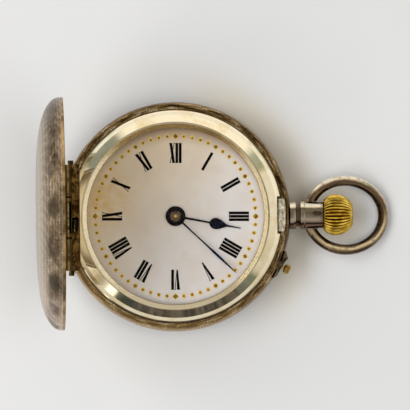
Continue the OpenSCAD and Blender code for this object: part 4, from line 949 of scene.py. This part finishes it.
def area(name, at, wide, tall, power, colour):
    """A soft box that faces the watch and that metal doesn't mirror."""
    data = bpy.data.lights.new(name, "AREA")
    data.shape = "RECTANGLE"
    data.size = wide
    data.size_y = tall
    data.energy = power
    data.color = srgb(colour)[:3]
    obj = in_scene(name, data)
    obj.matrix_world = looking(at, (0, 0, 0), (0, 0, 1))
    obj.visible_glossy = False


def world():
    """A pale studio in two skies: one lights, and metal mirrors the other, which has dark parts low down."""
    data = bpy.data.worlds.new("studio")
    bpy.context.scene.world = data
    data.use_nodes = True
    g = Graph(data.node_tree)
    where = g.node("TexCoord")
    x, y, z = g.split(where)

    def noise(scale, detail):
        return g.node("TexNoise", {"Vector": where, "Scale": scale, "Detail": detail})

    # Angle clockwise from the six, a little uneven
    turn = g.math("ARCTAN2", g.times(x, -1), g.times(y, -1))
    turn = g.add(turn, g.remap(noise(7.0, 4.0), 0.3, 0.7, -0.09, 0.09))

    def wedge(start, end, soft):
        return g.window(turn, math.radians(start), math.radians(end), math.radians(soft))

    side = g.step(g.add(g.times(x, -0.35), g.times(y, -0.8)), -0.8, 0.9)
    light = g.mix(side, (0.22, 0.215, 0.205, 1), (0.38, 0.381, 0.384, 1))

    # The mirrored sky: warm all round, pale above, dimmer towards the six and straight up
    low = g.mix(wedge(-122, -48, 14), (1.08, 1.03, 0.94, 1), (0.8, 0.775, 0.7, 1))
    mirror = g.mix(g.step(z, 0.2, 0.5), low, (0.94, 0.93, 0.9, 1))
    mirror = g.mix(g.times(wedge(-75, 75, 25), 0.35), mirror, (0.35, 0.33, 0.3, 1))
    mirror = g.mix(g.step(z, 0.76, 0.96), mirror, (0.42, 0.41, 0.39, 1))
    dark = g.mix(g.step(noise(24.0, 3.0), 0.4, 0.62), (0.035, 0.034, 0.032, 1), (0.2, 0.175, 0.16, 1))
    dark = g.mix(g.times(wedge(26, 44, 4), 0.85), dark, (0.04, 0.056, 0.06, 1))
    # Things low in the room, each over the one before: start, end and softness in degrees, strength, colour
    low_down = g.window(z, -0.2, 0.36, 0.07)
    for start, end, soft, strength, colour in (
            (-54, 48, 5, 1.0, (0.2, 0.24, 0.21, 1)),
            (-44, 39, 6, 1.0, dark),
            (47, 56, 3, 0.7, (0.34, 0.26, 0.15, 1)),
            (40, 46, 2, 1.0, (1.7, 1.68, 1.6, 1)),
            (-134, -118, 4, 0.85, (0.3, 0.36, 0.31, 1)),
            (118, 146, 5, 0.9, (0.17, 0.215, 0.19, 1))):
        mirror = g.mix(g.times(wedge(start, end, soft), g.times(low_down, strength)), mirror, colour)

    skies = {0: g.node("LightPath", out="Is Glossy Ray")}
    for slot, colour in ((1, light), (2, mirror)):
        skies[slot] = g.node("Background", {"Color": colour, "Strength": 1.0})
    g.put(g.tree.nodes["World Output"].inputs[0], g.node("MixShader", skies))


def camera():
    """A long lens at the photograph's angle and roll."""
    target, far = Vector((4.65, 1.72, 7.0)) * MM, 0.7
    tilt, roll = math.radians(2.25), math.radians(0.7)
    data = bpy.data.cameras.new("camera")
    data.sensor_width = 36
    data.lens = 391
    data.clip_start = 0.05
    data.clip_end = 20
    obj = in_scene("camera", data)
    at = target + far * Vector((0, -math.sin(tilt), math.cos(tilt)))
    obj.matrix_world = looking(at, target, (math.sin(roll), math.cos(roll), 0))
    bpy.context.scene.camera = obj


ground()
area("key", (-0.491, -0.034, 0.63), 0.95, 0.5, 6.0, "FFFDF9")
area("top", (0.22, -0.08, 0.87), 0.5, 0.5, 2.1, "FFFEFC")
world()
camera()
bpy.context.scene.view_settings.view_transform = "Standard"
